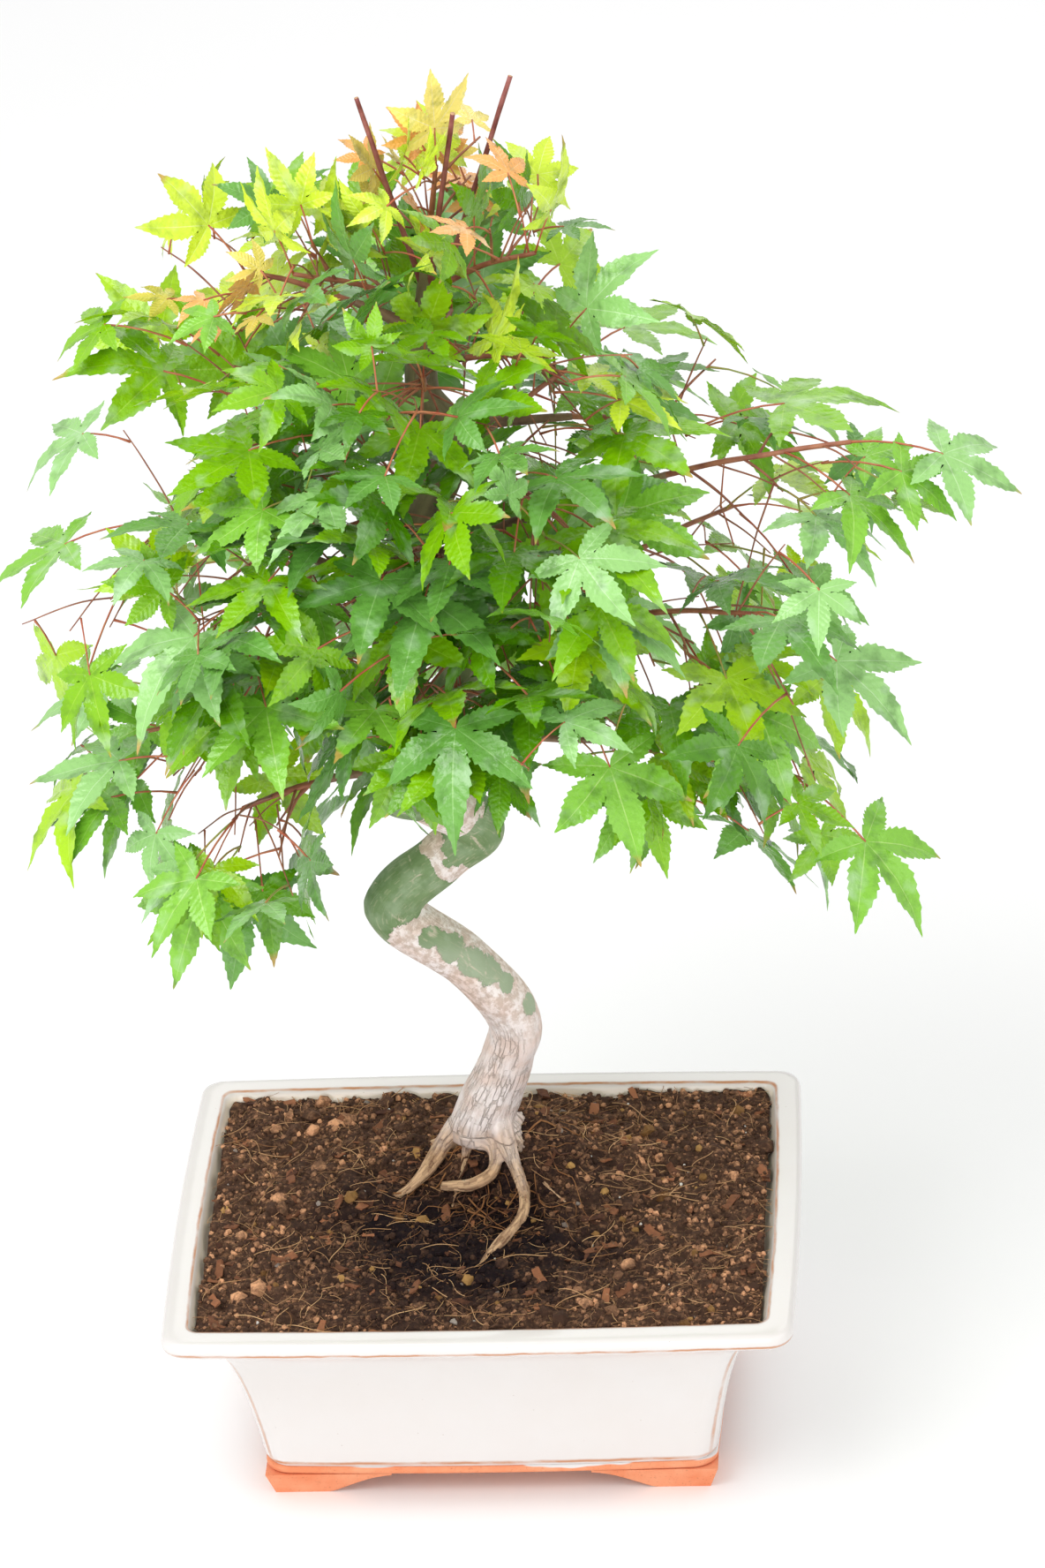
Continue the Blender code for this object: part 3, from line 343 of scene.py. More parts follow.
SHOOT_PLACE_RANGE = (0.3, 0.8)
NODE_SPACING = 24 * MM
NODE_SETBACK = 0.12
LEAVES_PER_MASS = 9
LEAF_ATTEMPTS = 10
SHOOT_ATTEMPTS = 160
LIMB_CLEARANCE = 1.2 * MM
FOOT_CLEARANCE = 1.5 * STEM_RADIUS
STEM_START_GAP = 1.2 * GAP

# What the rule is carried on to here: finer shoots from the stems and from other shoots, with more
# and mostly smaller leaves, which may lap the others' lobes.
FINE_ATTEMPTS = 150
FINE_LEAF_ATTEMPTS = 5
FINE_FROM_SHOOT = 0.45
FINE_SHOOT_RANGE = (0.5, 1.5)
FINE_SIZE_RANGE = (0.60, 1.0)
FINE_ROOM = 0.72
REACH = (CAD_BOX[0] - PLAN, CAD_BOX[1] - PLAN)
INNER_SIZE = 0.84
OUTER_SIZE = 0.68
OUTER_REACH = 150 * MM
SLIDE_OUT = 0.7
FINE_STRAY = 0.65
STEM_SHARE = 0.62
SHOOT_SHARE = 0.48
FINE_TWIG_SHARE = 0.32

# Where the crown lets the sky through, as (x, height, radius) in mm in the plane of its heart. A
# gap runs back and forth along the line of sight, which falls with depth and shifts a little.
SKY_GAPS = (
    (-100, 415, 12), (-105, 385, 18), (-125, 360, 18), (-135, 325, 12), (-110, 305, 8),
    (-85, 240, 17), (-130, 225, 11), (-80, 455, 9), (35, 460, 10), (65, 435, 13), (95, 400, 11),
    (100, 365, 17), (175, 375, 10), (145, 330, 7), (145, 240, 14), (85, 225, 11), (40, 265, 11),
    (35, 390, 7), (51, 261, 9), (34, 246, 8), (104, 352, 9),
    (-83, 331, 7), (-108, 304, 9), (3, 410, 7),
)
SKY_FALL = 0.515
SKY_SHIFT = 0.09
SKY_CLEAR = 8 * MM
BLADE_MIDDLE = 0.45

# A blade's true outline: lobes as (degrees from the middle lobe, length, half width at the notch,
# steps out to its point), and the notches between them as (degrees, radius), right to left.
BLADE_LOBES = (
    (-110, 0.66, 0.052, 3), (-54, 0.93, 0.073, 3), (0, 1.04, 0.077, 3), (54, 0.93, 0.073, 3),
    (110, 0.66, 0.052, 3),
)
BLADE_NOTCHES = ((-158, 0.08), (-82, 0.19), (-27, 0.21), (27, 0.21), (82, 0.19), (158, 0.08))
LOBE_BELLY = 9.5
LOBE_POINT = 1.42
TEETH = 3
TOOTH_OUT = 0.020
TOOTH_FADE = 0.6
TOOTH_FORWARD = 0.78
VALLEY_IN = 0.93
RIB_WIDTH = 0.008
RIB_TAPER = 1.15
RIB_FORK = 0.15

# How each blade bends, as ranges: droop, rise of the blade off its ribs, curl of each lobe down or
# up past its middle, its sweep sideways and its length over or under the common one.
DROOP_RANGE = (0.04, 0.32)
FOLD_RANGE = (0.05, 0.30)
CURL_RANGE = (-0.18, 0.48)
SWEEP_RANGE = (-0.18, 0.18)
LOBE_GROWTH_RANGE = (-0.18, 0.12)
BLADE_ROLL = 0.45
RIPPLE = 0.012
RIPPLES = 21
RIB_HALF_WIDTH = 0.02
CURL_START = 0.35
VEIN_SPACING = 0.10
VEIN_SLANT = 0.8
VEIN_RELIEF = 0.045
# How much painted sheen in pale clouds and painted shade in dark blotches a blade has.
PAINTED_SHEEN = 0.36
PAINTED_LEAF_SHADE = 0.5

STALK_SIDES = 4
STALK_STEPS = 4
STALK_BOW = 0.12
STALK_FOOT_SWELL = 0.5
STEM_SIDES = 8
SHOOT_SIDES = 6
STEM_ROOTING = 2 * MM
STEM_BEND = 0.6 * MM
SHOOT_BEND = 0.5 * MM
SHOOT_BOW = 0.05
SHOOT_FOOT_SWELL = 1.2
SHOOT_TIP_SHARE = 0.75
FINE_STALK_RADIUS = 0.36 * MM

FLOOR_RADIUS = 14.0
LAMP_AIM = 0.28

# Camera: the photograph's own, fitted to the pot's rim and foot.
CAMERA_TARGET = Vector((21.55, 0, 257.2)) * MM
CAMERA_DISTANCE = 2451.9 * MM
CAMERA_PITCH = 29.69
CAMERA_YAW = -4.63
CAMERA_ROLL = -3.53
CAMERA_LENS = 163.65


def linear(hex_colour):
    """An sRGB hex colour as linear red, green and blue."""
    parts = [int(hex_colour[place:place + 2], 16) / 255 for place in (1, 3, 5)]
    return tuple(part / 12.92 if part <= 0.04045 else ((part + 0.055) / 1.055) ** 2.4 for part in parts)


def setting(kind, name, description, default, **limits):
    return kind(name=name, description=description, default=default, **limits)


def colour_setting(name, description, hex_colour):
    limits = {"subtype": "COLOR", "size": 3, "min": 0, "max": 1}
    return setting(FloatVectorProperty, name, description, linear(hex_colour), **limits)


class PotSettings(bpy.types.PropertyGroup):
    glaze: colour_setting("Glaze", "Cream of the glaze where it is thick", "#DEDAD8")
    glaze_break: colour_setting("Glaze break", "Rust brown where the glaze runs thin on an edge", "#BE7840")
    clay: colour_setting("Clay", "Bare fired clay of the band and feet", "#E4875C")
    gloss: setting(
        FloatProperty, "Glaze roughness", "Lower is glossier", 0.16, min=0.02, max=1, subtype="FACTOR",
    )


class SoilSettings(bpy.types.PropertyGroup):
    dark: colour_setting("Damp soil", "Peaty soil where it is damp", "#160B10")
    light: colour_setting("Dry soil", "The same soil where it has dried", "#E0A67C")
    crumbs: setting(IntProperty, "Crumbs", "Crumbs on each square metre of soil", 210000, min=0)
    fibres: setting(IntProperty, "Fibres", "Root fibres on each square metre of soil", 19000, min=0)
    seed: setting(IntProperty, "Seed", "Seed of the scattered grains", 7)


class BarkSettings(bpy.types.PropertyGroup):
    cork: colour_setting("Cork", "Grey pink cork of the old trunk", "#FBF0ED")
    fissure: colour_setting("Fissure", "Brown at the bottom of the cracks", "#94806F")
    jade: colour_setting("Jade", "Green bark where the cork has not formed", "#647F50")
    twig: colour_setting("Twig", "Red brown bark of the twigs", "#864A3A")
    stalk: colour_setting("Stalk", "Red of the leaf stalks", "#AE5038")
    relief: setting(
        FloatProperty, "Relief", "How deep the bark's relief is, as a share of the real one", 1.0,
        min=0, max=3, subtype="FACTOR",
    )


class CrownSettings(bpy.types.PropertyGroup):
    leaves: setting(
        IntProperty, "Leaves in a mass", "Leaves that each mass is grown to", 24, min=9, max=80,
    )
    leaf_gloss: setting(
        FloatProperty, "Leaf roughness", "Lower is glossier", 0.25, min=0.05, max=1, subtype="FACTOR",
    )
    seed: setting(IntProperty, "Seed", "Seed of the growth; the solids have the same", SEED)


class StageSettings(bpy.types.PropertyGroup):
    floor: colour_setting("Floor", "Plain pale floor", "#F4F4F4")
    sky: setting(FloatProperty, "Sky", "Light from all round", 0.80, min=0)
    key: setting(
        FloatProperty, "Key light", "Soft lamp at the upper left", 16, min=0, unit="POWER",
    )
    fill: setting(
        FloatProperty, "Fill light", "Soft lamps at the right, front and back", 5, min=0, unit="POWER",
    )


# Helpers

def node(tree, kind, inputs=(), out=0, **settings):
    """Add a node with its settings, and a value or link for each input; returns one of its outputs,
    or the node itself where out is None."""
    made = tree.nodes.new(kind)
    for name, value in settings.items():
        setattr(made, name, value)
    for name, value in dict(inputs).items():
        if isinstance(value, Tone):
            tree.links.new(value.socket, made.inputs[name])
        else:
            made.inputs[name].default_value = value
    return made if out is None else Tone(made.outputs[out])


class Tone:
    """An output of a node that takes plain arithmetic: each step of it adds a Math node."""

    def __init__(self, socket):
        self.socket = socket

    def step(self, operation, other=0.0):
        return node(self.socket.id_data, "ShaderNodeMath", {0: self, 1: other}, operation=operation)

    def __add__(self, other):
        return self.step("ADD", other)

    def __sub__(self, other):
        return self.step("SUBTRACT", other)

    def __rsub__(self, other):
        return self * -1.0 + other

    def __mul__(self, other):
        return self.step("MULTIPLY", other)

    def spread(self, low, high):
        """Stretched so that low gives 0 and high gives 1, clamped."""
        inputs = {"Value": self, "From Min": low, "From Max": high}
        return node(self.socket.id_data, "ShaderNodeMapRange", inputs)


def mixed(factor, *colours):
    """The colour between two by a factor; each is a Tone, linear, or an sRGB hex. A Mix node of
    colours takes them in its inputs 6 and 7 and gives its output 2."""
    inputs = {0: factor}
    for place, colour in zip((6, 7), colours):
        colour = linear(colour) if isinstance(colour, str) else colour
        inputs[place] = colour if isinstance(colour, Tone) else (*colour, 1)
    return node(factor.socket.id_data, "ShaderNodeMix", inputs, 2, data_type="RGBA")


class Finish:
    """A Principled material in the making; its sockets are named with _ for a space."""

    def __init__(self, name, colour, roughness, **sockets):
        self.material = bpy.data.materials.new(name)
        self.material.use_nodes = True
        self.tree = self.material.node_tree
        self.shader = self.tree.nodes["Principled BSDF"]
        for socket, value in {"Base Color": (*colour, 1), "Roughness": roughness, **sockets}.items():
            self.shader.inputs[socket.replace("_", " ")].default_value = value
        self.place = node(self.tree, "ShaderNodeTexCoord", out="Object")

    def value(self, name):
        """What the mesh keeps at its points under a name."""
        return node(self.tree, "ShaderNodeAttribute", out="Fac", attribute_name=name)

    def height(self):
        return node(self.tree, "ShaderNodeSeparateXYZ", {0: self.place}, "Z")

    def grain(self, millimetres, detail=4.0, rough=0.55, place=None):
        """Noise whose features are about this many millimetres across."""
        inputs = {"Vector": place or self.place, "Scale": 1 / (millimetres * MM)}
        inputs.update({"Detail": detail, "Roughness": rough})
        return node(self.tree, "ShaderNodeTexNoise", inputs, "Fac")

    def cells(self, millimetres, place=None, feature="F1"):
        """How far a place is from the middle of its cell, or from its edge."""
        inputs = {"Vector": place or self.place, "Scale": 1 / (millimetres * MM)}
        return node(self.tree, "ShaderNodeTexVoronoi", inputs, "Distance", feature=feature)

    def done(self, base, relief=None, millimetres=0.0, rough=None):
        """Link the colour, the roughness and relief too fine for the mesh, of this height."""
        if relief:
            inputs = {"Height": relief, "Distance": millimetres * MM}
            relief = node(self.tree, "ShaderNodeBump", inputs)
        for name, tone in (("Base Color", base), ("Roughness", rough), ("Normal", relief)):
            if tone:
                self.tree.links.new(tone.socket, self.shader.inputs[name])
        return self.material


def placed(name, data):
    """An object for a mesh, lamp or camera."""
    made = bpy.data.objects.new(name, data)
    bpy.context.scene.collection.objects.link(made)
    return made


def add_piece(name, mesh):
    """An object for a mesh worked out from the middle of the pot, moved to its place."""
    mesh.transform(Matrix.Translation(PLAN))
    mesh.update()
    return placed(name, mesh)


def dress(piece, slot, *nodes):
    """Fix a finished piece to the plant, in place of the solids it stands for."""
    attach(piece, BODY)
    if nodes:
        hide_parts(*nodes)


def keep_values(mesh, columns):
    """Keep a value for each point of a mesh under each name."""
    for name, values in columns.items():
        attribute = mesh.attributes.new(name, "FLOAT", "POINT")
        attribute.data.foreach_set("value", np.asarray(values, np.float32))


class Heap:
    """Many small shapes that become one mesh, with a finish for each face and values at points."""

    def __init__(self, *names):
        self.points = []
        self.faces = []
        self.slots = []
        self.values = {name: [] for name in names}
        self.count = 0

    def add(self, points, faces, slots=0, **values):
        points = np.asarray(points, float).reshape(-1, 3)
        self.points.append(points)
        for face in faces:
            self.faces.append([corner + self.count for corner in face])
        self.slots += [slots] * len(faces) if isinstance(slots, int) else list(slots)
        for name, kept in self.values.items():
            kept.append(np.broadcast_to(values.get(name, 0.0), len(points)))
        self.count += len(points)

    def mesh(self, name, materials=()):
        mesh = bpy.data.meshes.new(name)
        mesh.from_pydata(np.concatenate(self.points).tolist(), [], self.faces)
        for made in materials:
            mesh.materials.append(made)
        mesh.polygons.foreach_set("material_index", self.slots)
        keep_values(mesh, {name: np.concatenate(kept) for name, kept in self.values.items()})
        mesh.shade_smooth()
        return mesh

    def finish(self, name, materials):
        """The heap as a piece in its place, shaded smooth."""
        return add_piece(name, self.mesh(name, materials))


def mesh_from(bm, name):
    mesh = bpy.data.meshes.new(name)
    bm.to_mesh(mesh)
    bm.free()
    return mesh


def boundary(bm):
    return [edge for edge in bm.edges if edge.is_boundary]


def modify(item, kind, **settings):
    """Add a modifier with its settings."""
    step = item.modifiers.new(kind, kind)
    for name, value in settings.items():
        setattr(step, name, value)
    return step


def applied(item, *others):
    """What an object's modifiers make of it, as a plain mesh; the objects are removed."""
    view = bpy.context.evaluated_depsgraph_get()
    mesh = bpy.data.meshes.new_from_object(item.evaluated_get(view))
    for old in (item, *others):
        bpy.data.meshes.remove(old.data)
    return mesh


def sharpened(mesh, degrees):
    """Shade a mesh smooth, but for edges with a sharper turn than this."""
    mesh.shade_smooth()
    mesh.set_sharp_from_angle(angle=math.radians(degrees))


def clamped(value):
    return max(0.0, min(1.0, value))


def shares(count):
    """The shares of the way at the ends of so many equal steps, from 0 to 1."""
    return [step / count for step in range(count + 1)]


def level_way(angle):
    """The level direction at an angle from the right, in radians."""
    return Vector((math.cos(angle), math.sin(angle), 0))


# Paths and tubes

def smooth_path(stops, spacing):
    """Points and radii along a smooth curve through (x, y, z, radius) stops in mm."""
    rows = [Vector(stop) * MM for stop in stops]
    rows = [rows[0] * 2 - rows[1], *rows, rows[-1] * 2 - rows[-2]]
    path = []
    for before, start, end, after in zip(rows, rows[1:], rows[2:], rows[3:]):
        for t in shares(max(2, round((end - start).length / spacing)))[:-1]:
            row = start * 2 + (end - before) * t
            row += (before * 2 - start * 5 + end * 4 - after) * t * t
            row += (start * 3 - before - end * 3 + after) * t ** 3
            path.append(row * 0.5)
    path.append(rows[-2])
    return [(Vector(row[:3]), row[3]) for row in path]


def ring_faces(rings, sides):
    """The faces between rings of points, each of as many points as it has sides."""
    faces = []
    for low in range(0, (rings - 1) * sides, sides):
        for side in range(sides):
            after = (side + 1) % sides
            faces.append((low + side, low + after, low + sides + after, low + sides + side))
    return faces


def frames(path):
    """Each stop of a path with two ways across it, which turn no more than the path does."""
    for index, (place, radius) in enumerate(path):
        ahead = path[min(index + 1, len(path) - 1)][0]
        behind = path[max(index - 1, 0)][0]
        along = (ahead - behind).normalized()
        if index == 0:
            across = along.orthogonal()
        across = (across - along * across.dot(along)).normalized()
        yield place, radius, across, along.cross(across)


def tube_shell(path, extra, sides=8):
    """Vertices and faces of a plain tube round (point, radius) pairs, wider than it by the extra."""
    vertices = []
    for place, radius, across, third in frames(path):
        for side in range(sides):
            turn = math.tau * side / sides
            spoke = across * math.cos(turn) + third * math.sin(turn)
            vertices.append(place + spoke * (radius + extra))
    return vertices, ring_faces(len(path), sides)


def capped_tube(path, sides):
    """A closed tube with domed ends."""
    vertices, faces = tube_shell(path, 0, sides)
    last = len(path) - 1
    for index, beside in ((0, 1), (last, last - 1)):
        place, radius = path[index]
        outward = (place - path[beside][0]).normalized()
        vertices.append(place + outward * radius * DOME)
        hub = len(vertices) - 1
        first = index * sides
        for side in range(sides):
            pair = (first + side, first + (side + 1) % sides)
            faces.append((pair[1], pair[0], hub) if index == 0 else (*pair, hub))
    return vertices, faces


def arc(start, end, lift, count):
    """Points from start to end, lifted in the middle by a share of the way between them."""
    middle = start.lerp(end, 0.5) + UP * (end - start).length * lift
    return [start * (1 - t) ** 2 + middle * 2 * t * (1 - t) + end * t ** 2 for t in shares(count)]


def trunk_point(path, height):
    """The point of the trunk's middle line at a height, from the ground up."""
    for (low, _), (high, _) in zip(path, path[1:]):
        if low.z <= height <= high.z:
            return low.lerp(high, (height - low.z) / (high.z - low.z))
    return path[-1][0].copy()


def root_path(path, direction, reach, start_height, radius, curl):
    """A root that leaves the trunk's foot, arches out and dips under the soil's surface."""
    outward = level_way(math.radians(direction))
    sideways = UP.cross(outward)
    start = trunk_point(path, start_height * MM)
    fall = start.z - (SOIL_TOP - ROOT_END_DEPTH)
    points = []
    for t in shares(ROOT_POINTS - 1):
        place = start + outward * reach * MM * t + sideways * curl * MM * math.sin(math.pi * t)
        place.z = start.z - fall * t ** ROOT_FALL_POWER
        share = ROOT_START_SWELL + (ROOT_END_SHARE - ROOT_START_SWELL) * t
        points.append((place, radius * MM * share))
    return points


def finer(path, spacing):
    """The same limb with more rings, rounded through its points."""
    return smooth_path([(*(place / MM), radius / MM) for place, radius in path], spacing)


# Pot

def pot_ring(half_length, height, radius):
    """Points round the pot at one height, and each point's distance from the nearest corner."""
    x = half_length - radius
    y = half_length - LENGTH_LESS_DEPTH - radius
    corners = ((x, y), (-x, y), (-x, -y), (x, -y))
    ring = []
    away = []
    for index, (x, y) in enumerate(corners):
        start = index * 90
        for step in range(CORNER_STEPS):
            angle = math.radians(start + step * 90 / (CORNER_STEPS - 1))
            ring.append(Vector((x + radius * math.cos(angle), y + radius * math.sin(angle), height)))
            away.append(radius * abs(angle - math.radians(start + 45)))
        after = (index + 1) % 4
        outward = level_way(math.radians(after * 90))
        end = Vector((*corners[after], height)) + outward * radius
        begin = ring[-1].copy()
        for t in shares(SIDE_STEPS)[1:-1]:
            ring.append(begin.lerp(end, t) + outward * SIDE_BOW * 4 * t * (1 - t))
            away.append(radius + (end - begin).length * min(t, 1 - t))
    return ring, away


def section_lengths(levels):
    """How far up the section each of its levels is, in mm."""
    lengths = [0.0]
    for (low, narrow), (high, wide) in zip(levels, levels[1:]):
        lengths.append(lengths[-1] + math.hypot(high - low, wide - narrow) / MM)
    return lengths


def section_length(levels, height, half):
    """How far up the section its point nearest to a height and half length in mm is."""
    rows = []
    for (here, wide), length in zip(levels, section_lengths(levels)):
        rows.append((math.hypot(here / MM - height, wide / MM - half), length))
    return min(rows)[1]


def loft_object(name, levels, finish):
    """A closed loft of pot rings through (height, half length) pairs in metres, which keeps how far
    up the section and from a corner each point is, in mm. The corners tighten inside the rim."""
    points = []
    section = []
    corner = []
    widest = max(range(len(levels)), key=lambda place: levels[place][1])
    for index, ((height, half), length) in enumerate(zip(levels, section_lengths(levels))):
        tighter = (INNER_CORNER_RADIUS - CORNER_RADIUS) * clamped((index - widest) / RIM_LEVELS)
        ring, away = pot_ring(half, height, CORNER_RADIUS + tighter)
        points += ring
        section += [length] * len(ring)
        corner += [distance / MM for distance in away]
    count = len(ring)
    faces = [range(count - 1, -1, -1), range(len(points) - count, len(points))]
    heap = Heap("section", "corner")
    heap.add(points, faces + ring_faces(len(levels), count), section=section, corner=corner)
    return heap.finish(name, [finish])


def section_levels():
    """The pot's section as (height, half length) pairs in metres, smoothed."""
    stops = [(half, 0, height, 0) for height, half in (*WALL_OUTSIDE, *LIP, *WALL_INSIDE)]
    return [(place.z, place.x) for place, _ in smooth_path(stops, SECTION_SPACING)]


def glaze_material(settings, levels):
    """Cream stoneware glaze, dipped and fired: thick and glossy, with iron specks, painted lighter and
    warmer inside the rim where its wall lies in shade, and it breaks to rust brown where it runs thin
    over edges, corners and its lower end."""
    made = Finish(
        "cream_dipped_glaze", settings.glaze, settings.gloss, Coat_Weight=0.35, Coat_Roughness=0.05,
    )
    section = made.value("section")
    wander = (made.grain(9) - 0.5) * 1.3
    inner_edge = section_length(levels, *INNER_EDGE)
    outer_edge = section_length(levels, *OUTER_EDGE)
    below_rim = section.spread(outer_edge + 1, outer_edge - 1)
    ridge = (made.value("corner") + wander.step("ABSOLUTE")).spread(1.3, 0.4)
    thin = ridge * (below_rim * 0.75)
    for where, width in (
        (inner_edge, 0.55),
        (outer_edge, 0.5),
        (section_length(levels, *GLAZE_END), 0.8),
    ):
        away = (section - where + wander).step("ABSOLUTE")
        thin = thin.step("MAXIMUM", away.spread(width * 1.5, width * 0.4))
    thin = thin * (made.grain(14, 6).spread(0.34, 0.56) * 0.6 + 0.3)
    cloud = made.grain(38, 3).spread(0.3, 0.75)
    base = mixed(cloud * 0.35, settings.glaze, "#D9CFC8")
    # Painted light: the inner wall below the lip, which lies in shade, is painted a lighter, warmer cream.
    inside = section.spread(inner_edge + 0.5, inner_edge + 3)
    base = mixed(inside * 0.85, base, "#FBEAD6")
    speck = made.cells(3.4).spread(0.085, 0.03) * made.grain(6, 2).spread(0.56, 0.62)
    base = mixed(speck * 0.5, base, "#8A6A4A")
    base = mixed(thin, base, settings.glaze_break)
    ripple = made.grain(9, 2) + thin * -0.4
    return made.done(base, ripple, 0.12, thin * 0.22 + settings.gloss)


def clay_material(settings):
    """Unglazed earthenware, pressed and fired: matt orange with fine grog and paler bloom. The
    glaze above it ends in a wandering line."""
    made = Finish("bare_fired_clay", settings.clay, 0.85)
    bloom = made.grain(12, 5).spread(0.35, 0.7)
    base = mixed(bloom * 0.5, settings.clay, "#F2B48E")
    grog = made.grain(0.9, 2).spread(0.60, 0.72)
    base = mixed(grog * 0.5, base, "#B5653E")
    run = made.height() + made.grain(45, 3) * GLAZE_RUN
    glazed = run.spread(BAND_TOP + GLAZE_RUN * 0.50, BAND_TOP + GLAZE_RUN * 0.53)
    return made.done(mixed(glazed, base, settings.glaze), made.grain(0.8, 6), 0.12)


def finish_loft(piece, degrees, slot, solid):
    """Cut the two drainage holes through a pot piece in its place, and dress it."""
    cutters = []
    for side in (-1, 1):
        bm = bmesh.new()
        place = Matrix.Translation(PLAN + Vector((side * DRAIN_OFFSET, 0, FLOOR_TOP / 2)))
        bmesh.ops.create_cone(
            bm, cap_ends=True, segments=32, radius1=DRAIN_RADIUS, radius2=DRAIN_RADIUS,
            depth=FLOOR_TOP * 2, matrix=place,
        )
        cutters.append(placed("drain", mesh_from(bm, "drain")))
        modify(piece, "BOOLEAN", operation="DIFFERENCE", object=cutters[-1])
    name = piece.name
    mesh = applied(piece, *cutters)
    sharpened(mesh, degrees)
    dress(placed(name, mesh), slot, solid)


def flat_foot(length, width, finish):
    """A prism of the foot's bracket profile along X, as deep as the width along Y."""
    profile = [(FOOT_DRAFT, 0), (FOOT_SOLE_SHARE * length, 0)]
    profile += [(length * out, FOOT_HEIGHT * up) for out, up in FOOT_SWEEP]
    profile += [(length, FOOT_HEIGHT), (0, FOOT_HEIGHT)]
    bm = bmesh.new()
    face = bm.faces.new([bm.verts.new((x, 0, z)) for x, z in profile])
    moved = bmesh.ops.extrude_face_region(bm, geom=[face])["geom"]
    corners = [item for item in moved if isinstance(item, bmesh.types.BMVert)]
    bmesh.ops.translate(bm, verts=corners, vec=(0, width, 0))
    bmesh.ops.recalc_face_normals(bm, faces=bm.faces)
    mesh = mesh_from(bm, "foot")
    mesh.materials.append(finish)
    return mesh


def make_foot(end, side, finish):
    """One bracket foot: the profile along the pot, cut by the one along its end."""
    foot = placed("foot", flat_foot(FOOT_LENGTH, FOOT_DEPTH, finish))
    across = flat_foot(FOOT_DEPTH, FOOT_LENGTH, finish)
    across.transform(Matrix.Translation((FOOT_LENGTH, 0, 0)) @ Matrix.Rotation(math.pi / 2, 4, "Z"))
    cutter = placed("foot_across", across)
    modify(foot, "BOOLEAN", operation="INTERSECT", object=cutter)
    mesh = applied(foot, cutter)
    corner = Vector((end * BASE_HALF_LENGTH, side * (BASE_HALF_LENGTH - LENGTH_LESS_DEPTH), 0))
    mesh.transform(Matrix.Translation(corner) @ Matrix.Diagonal((-end, -side, 1, 1)))
    if end * side < 0:
        mesh.flip_normals()
    while len(mesh.materials) > 1:
        mesh.materials.pop()
    sharpened(mesh, 32)
    name = "foot_{}_{}".format("front" if side < 0 else "back", "left" if end < 0 else "right")
    dress(add_piece("clay_" + name, mesh), "terracotta", "pot_" + name)


class BONSAI_OT_pot(bpy.types.Operator):
    """Build the glazed pot with its bare clay band and feet"""

    bl_idname = "bonsai.pot"
    bl_label = "Build pot"

    def execute(self, context):
        settings = context.scene.bonsai_pot
        levels = section_levels()
        body = loft_object("glazed_pot", levels, glaze_material(settings, levels))
        finish_loft(body, 45, "glaze", "pot_body")
        clay = clay_material(settings)
        half = BASE_HALF_LENGTH
        inner = half - BAND_EDGE
        low = FOOT_HEIGHT + GAP
        levels = [(low, inner), (low + BAND_EDGE, half), (BAND_TOP - BAND_EDGE, half), (BAND_TOP, inner)]
        finish_loft(loft_object("clay_band", levels, clay), 50, "terracotta", "pot_base_band")
        for end in (-1, 1):
            for side in (-1, 1):
                make_foot(end, side, clay)
        return {"FINISHED"}


# Soil

def soil_height(x, y):
    """The height of the soil at a place from the middle of the pot."""
    inset = min(SOIL_HALF_LENGTH - abs(x), SOIL_HALF_LENGTH - LENGTH_LESS_DEPTH - abs(y))
    rise = min(1.0, max(0.0, inset / SOIL_RISE_WIDTH))
    height = SOIL_WALL_HEIGHT + (SOIL_TOP - SOIL_WALL_HEIGHT) * rise ** 0.5
    for (middle_x, middle_y), radius, lift in MOUNDS:
        away = math.hypot(x / MM - middle_x, y / MM - middle_y) / radius
        height += lift * MM * math.exp(-away * away)
    for size, lift in SOIL_GRAINS:
        height += lift * MM * noise.noise(Vector((x / MM, y / MM, size)) / size)
    return height


def soil_mesh():
    """The soil's crumbly surface as a closed slab, its corners drawn in to the pot's."""
    half_depth = SOIL_HALF_LENGTH - LENGTH_LESS_DEPTH
    bm = bmesh.new()
    grid = []
    for row in range(SOIL_ROWS + 1):
        line = []
        for column in range(SOIL_COLUMNS + 1):
            x = SOIL_HALF_LENGTH * (2 * column / SOIL_COLUMNS - 1)
            y = half_depth * (2 * row / SOIL_ROWS - 1)
            over = Vector((
                max(0, abs(x) - SOIL_HALF_LENGTH + INNER_CORNER_RADIUS),
                max(0, abs(y) - half_depth + INNER_CORNER_RADIUS),
            ))
            if over.x > 0 and over.y > 0:
                fitted = over * (max(over) / over.length)
                x = math.copysign(abs(x) - over.x + fitted.x, x)
                y = math.copysign(abs(y) - over.y + fitted.y, y)
            line.append(bm.verts.new((x, y, soil_height(x, y))))
        grid.append(line)
    for low, high in zip(grid, grid[1:]):
        for column in range(SOIL_COLUMNS):
            bm.faces.new((low[column], low[column + 1], high[column + 1], high[column]))
    skirt = bmesh.ops.extrude_edge_only(bm, edges=boundary(bm))["geom"]
    for item in skirt:
        if isinstance(item, bmesh.types.BMVert):
            item.co.z = SOIL_WALL_HEIGHT - SOIL_SKIRT
            item.co.x *= 1 - SOIL_SKIRT / SOIL_HALF_LENGTH
            item.co.y *= 1 - SOIL_SKIRT / half_depth
    sides = [item for item in skirt if isinstance(item, bmesh.types.BMFace)]
    sides += bmesh.ops.contextual_create(bm, geom=boundary(bm))["faces"]
    bm.normal_update()
    for face in sides:
        away = face.calc_center_median() - UP * SOIL_WALL_HEIGHT
        if face.normal.dot(away) < 0:
            face.normal_flip()
    return mesh_from(bm, "soil")


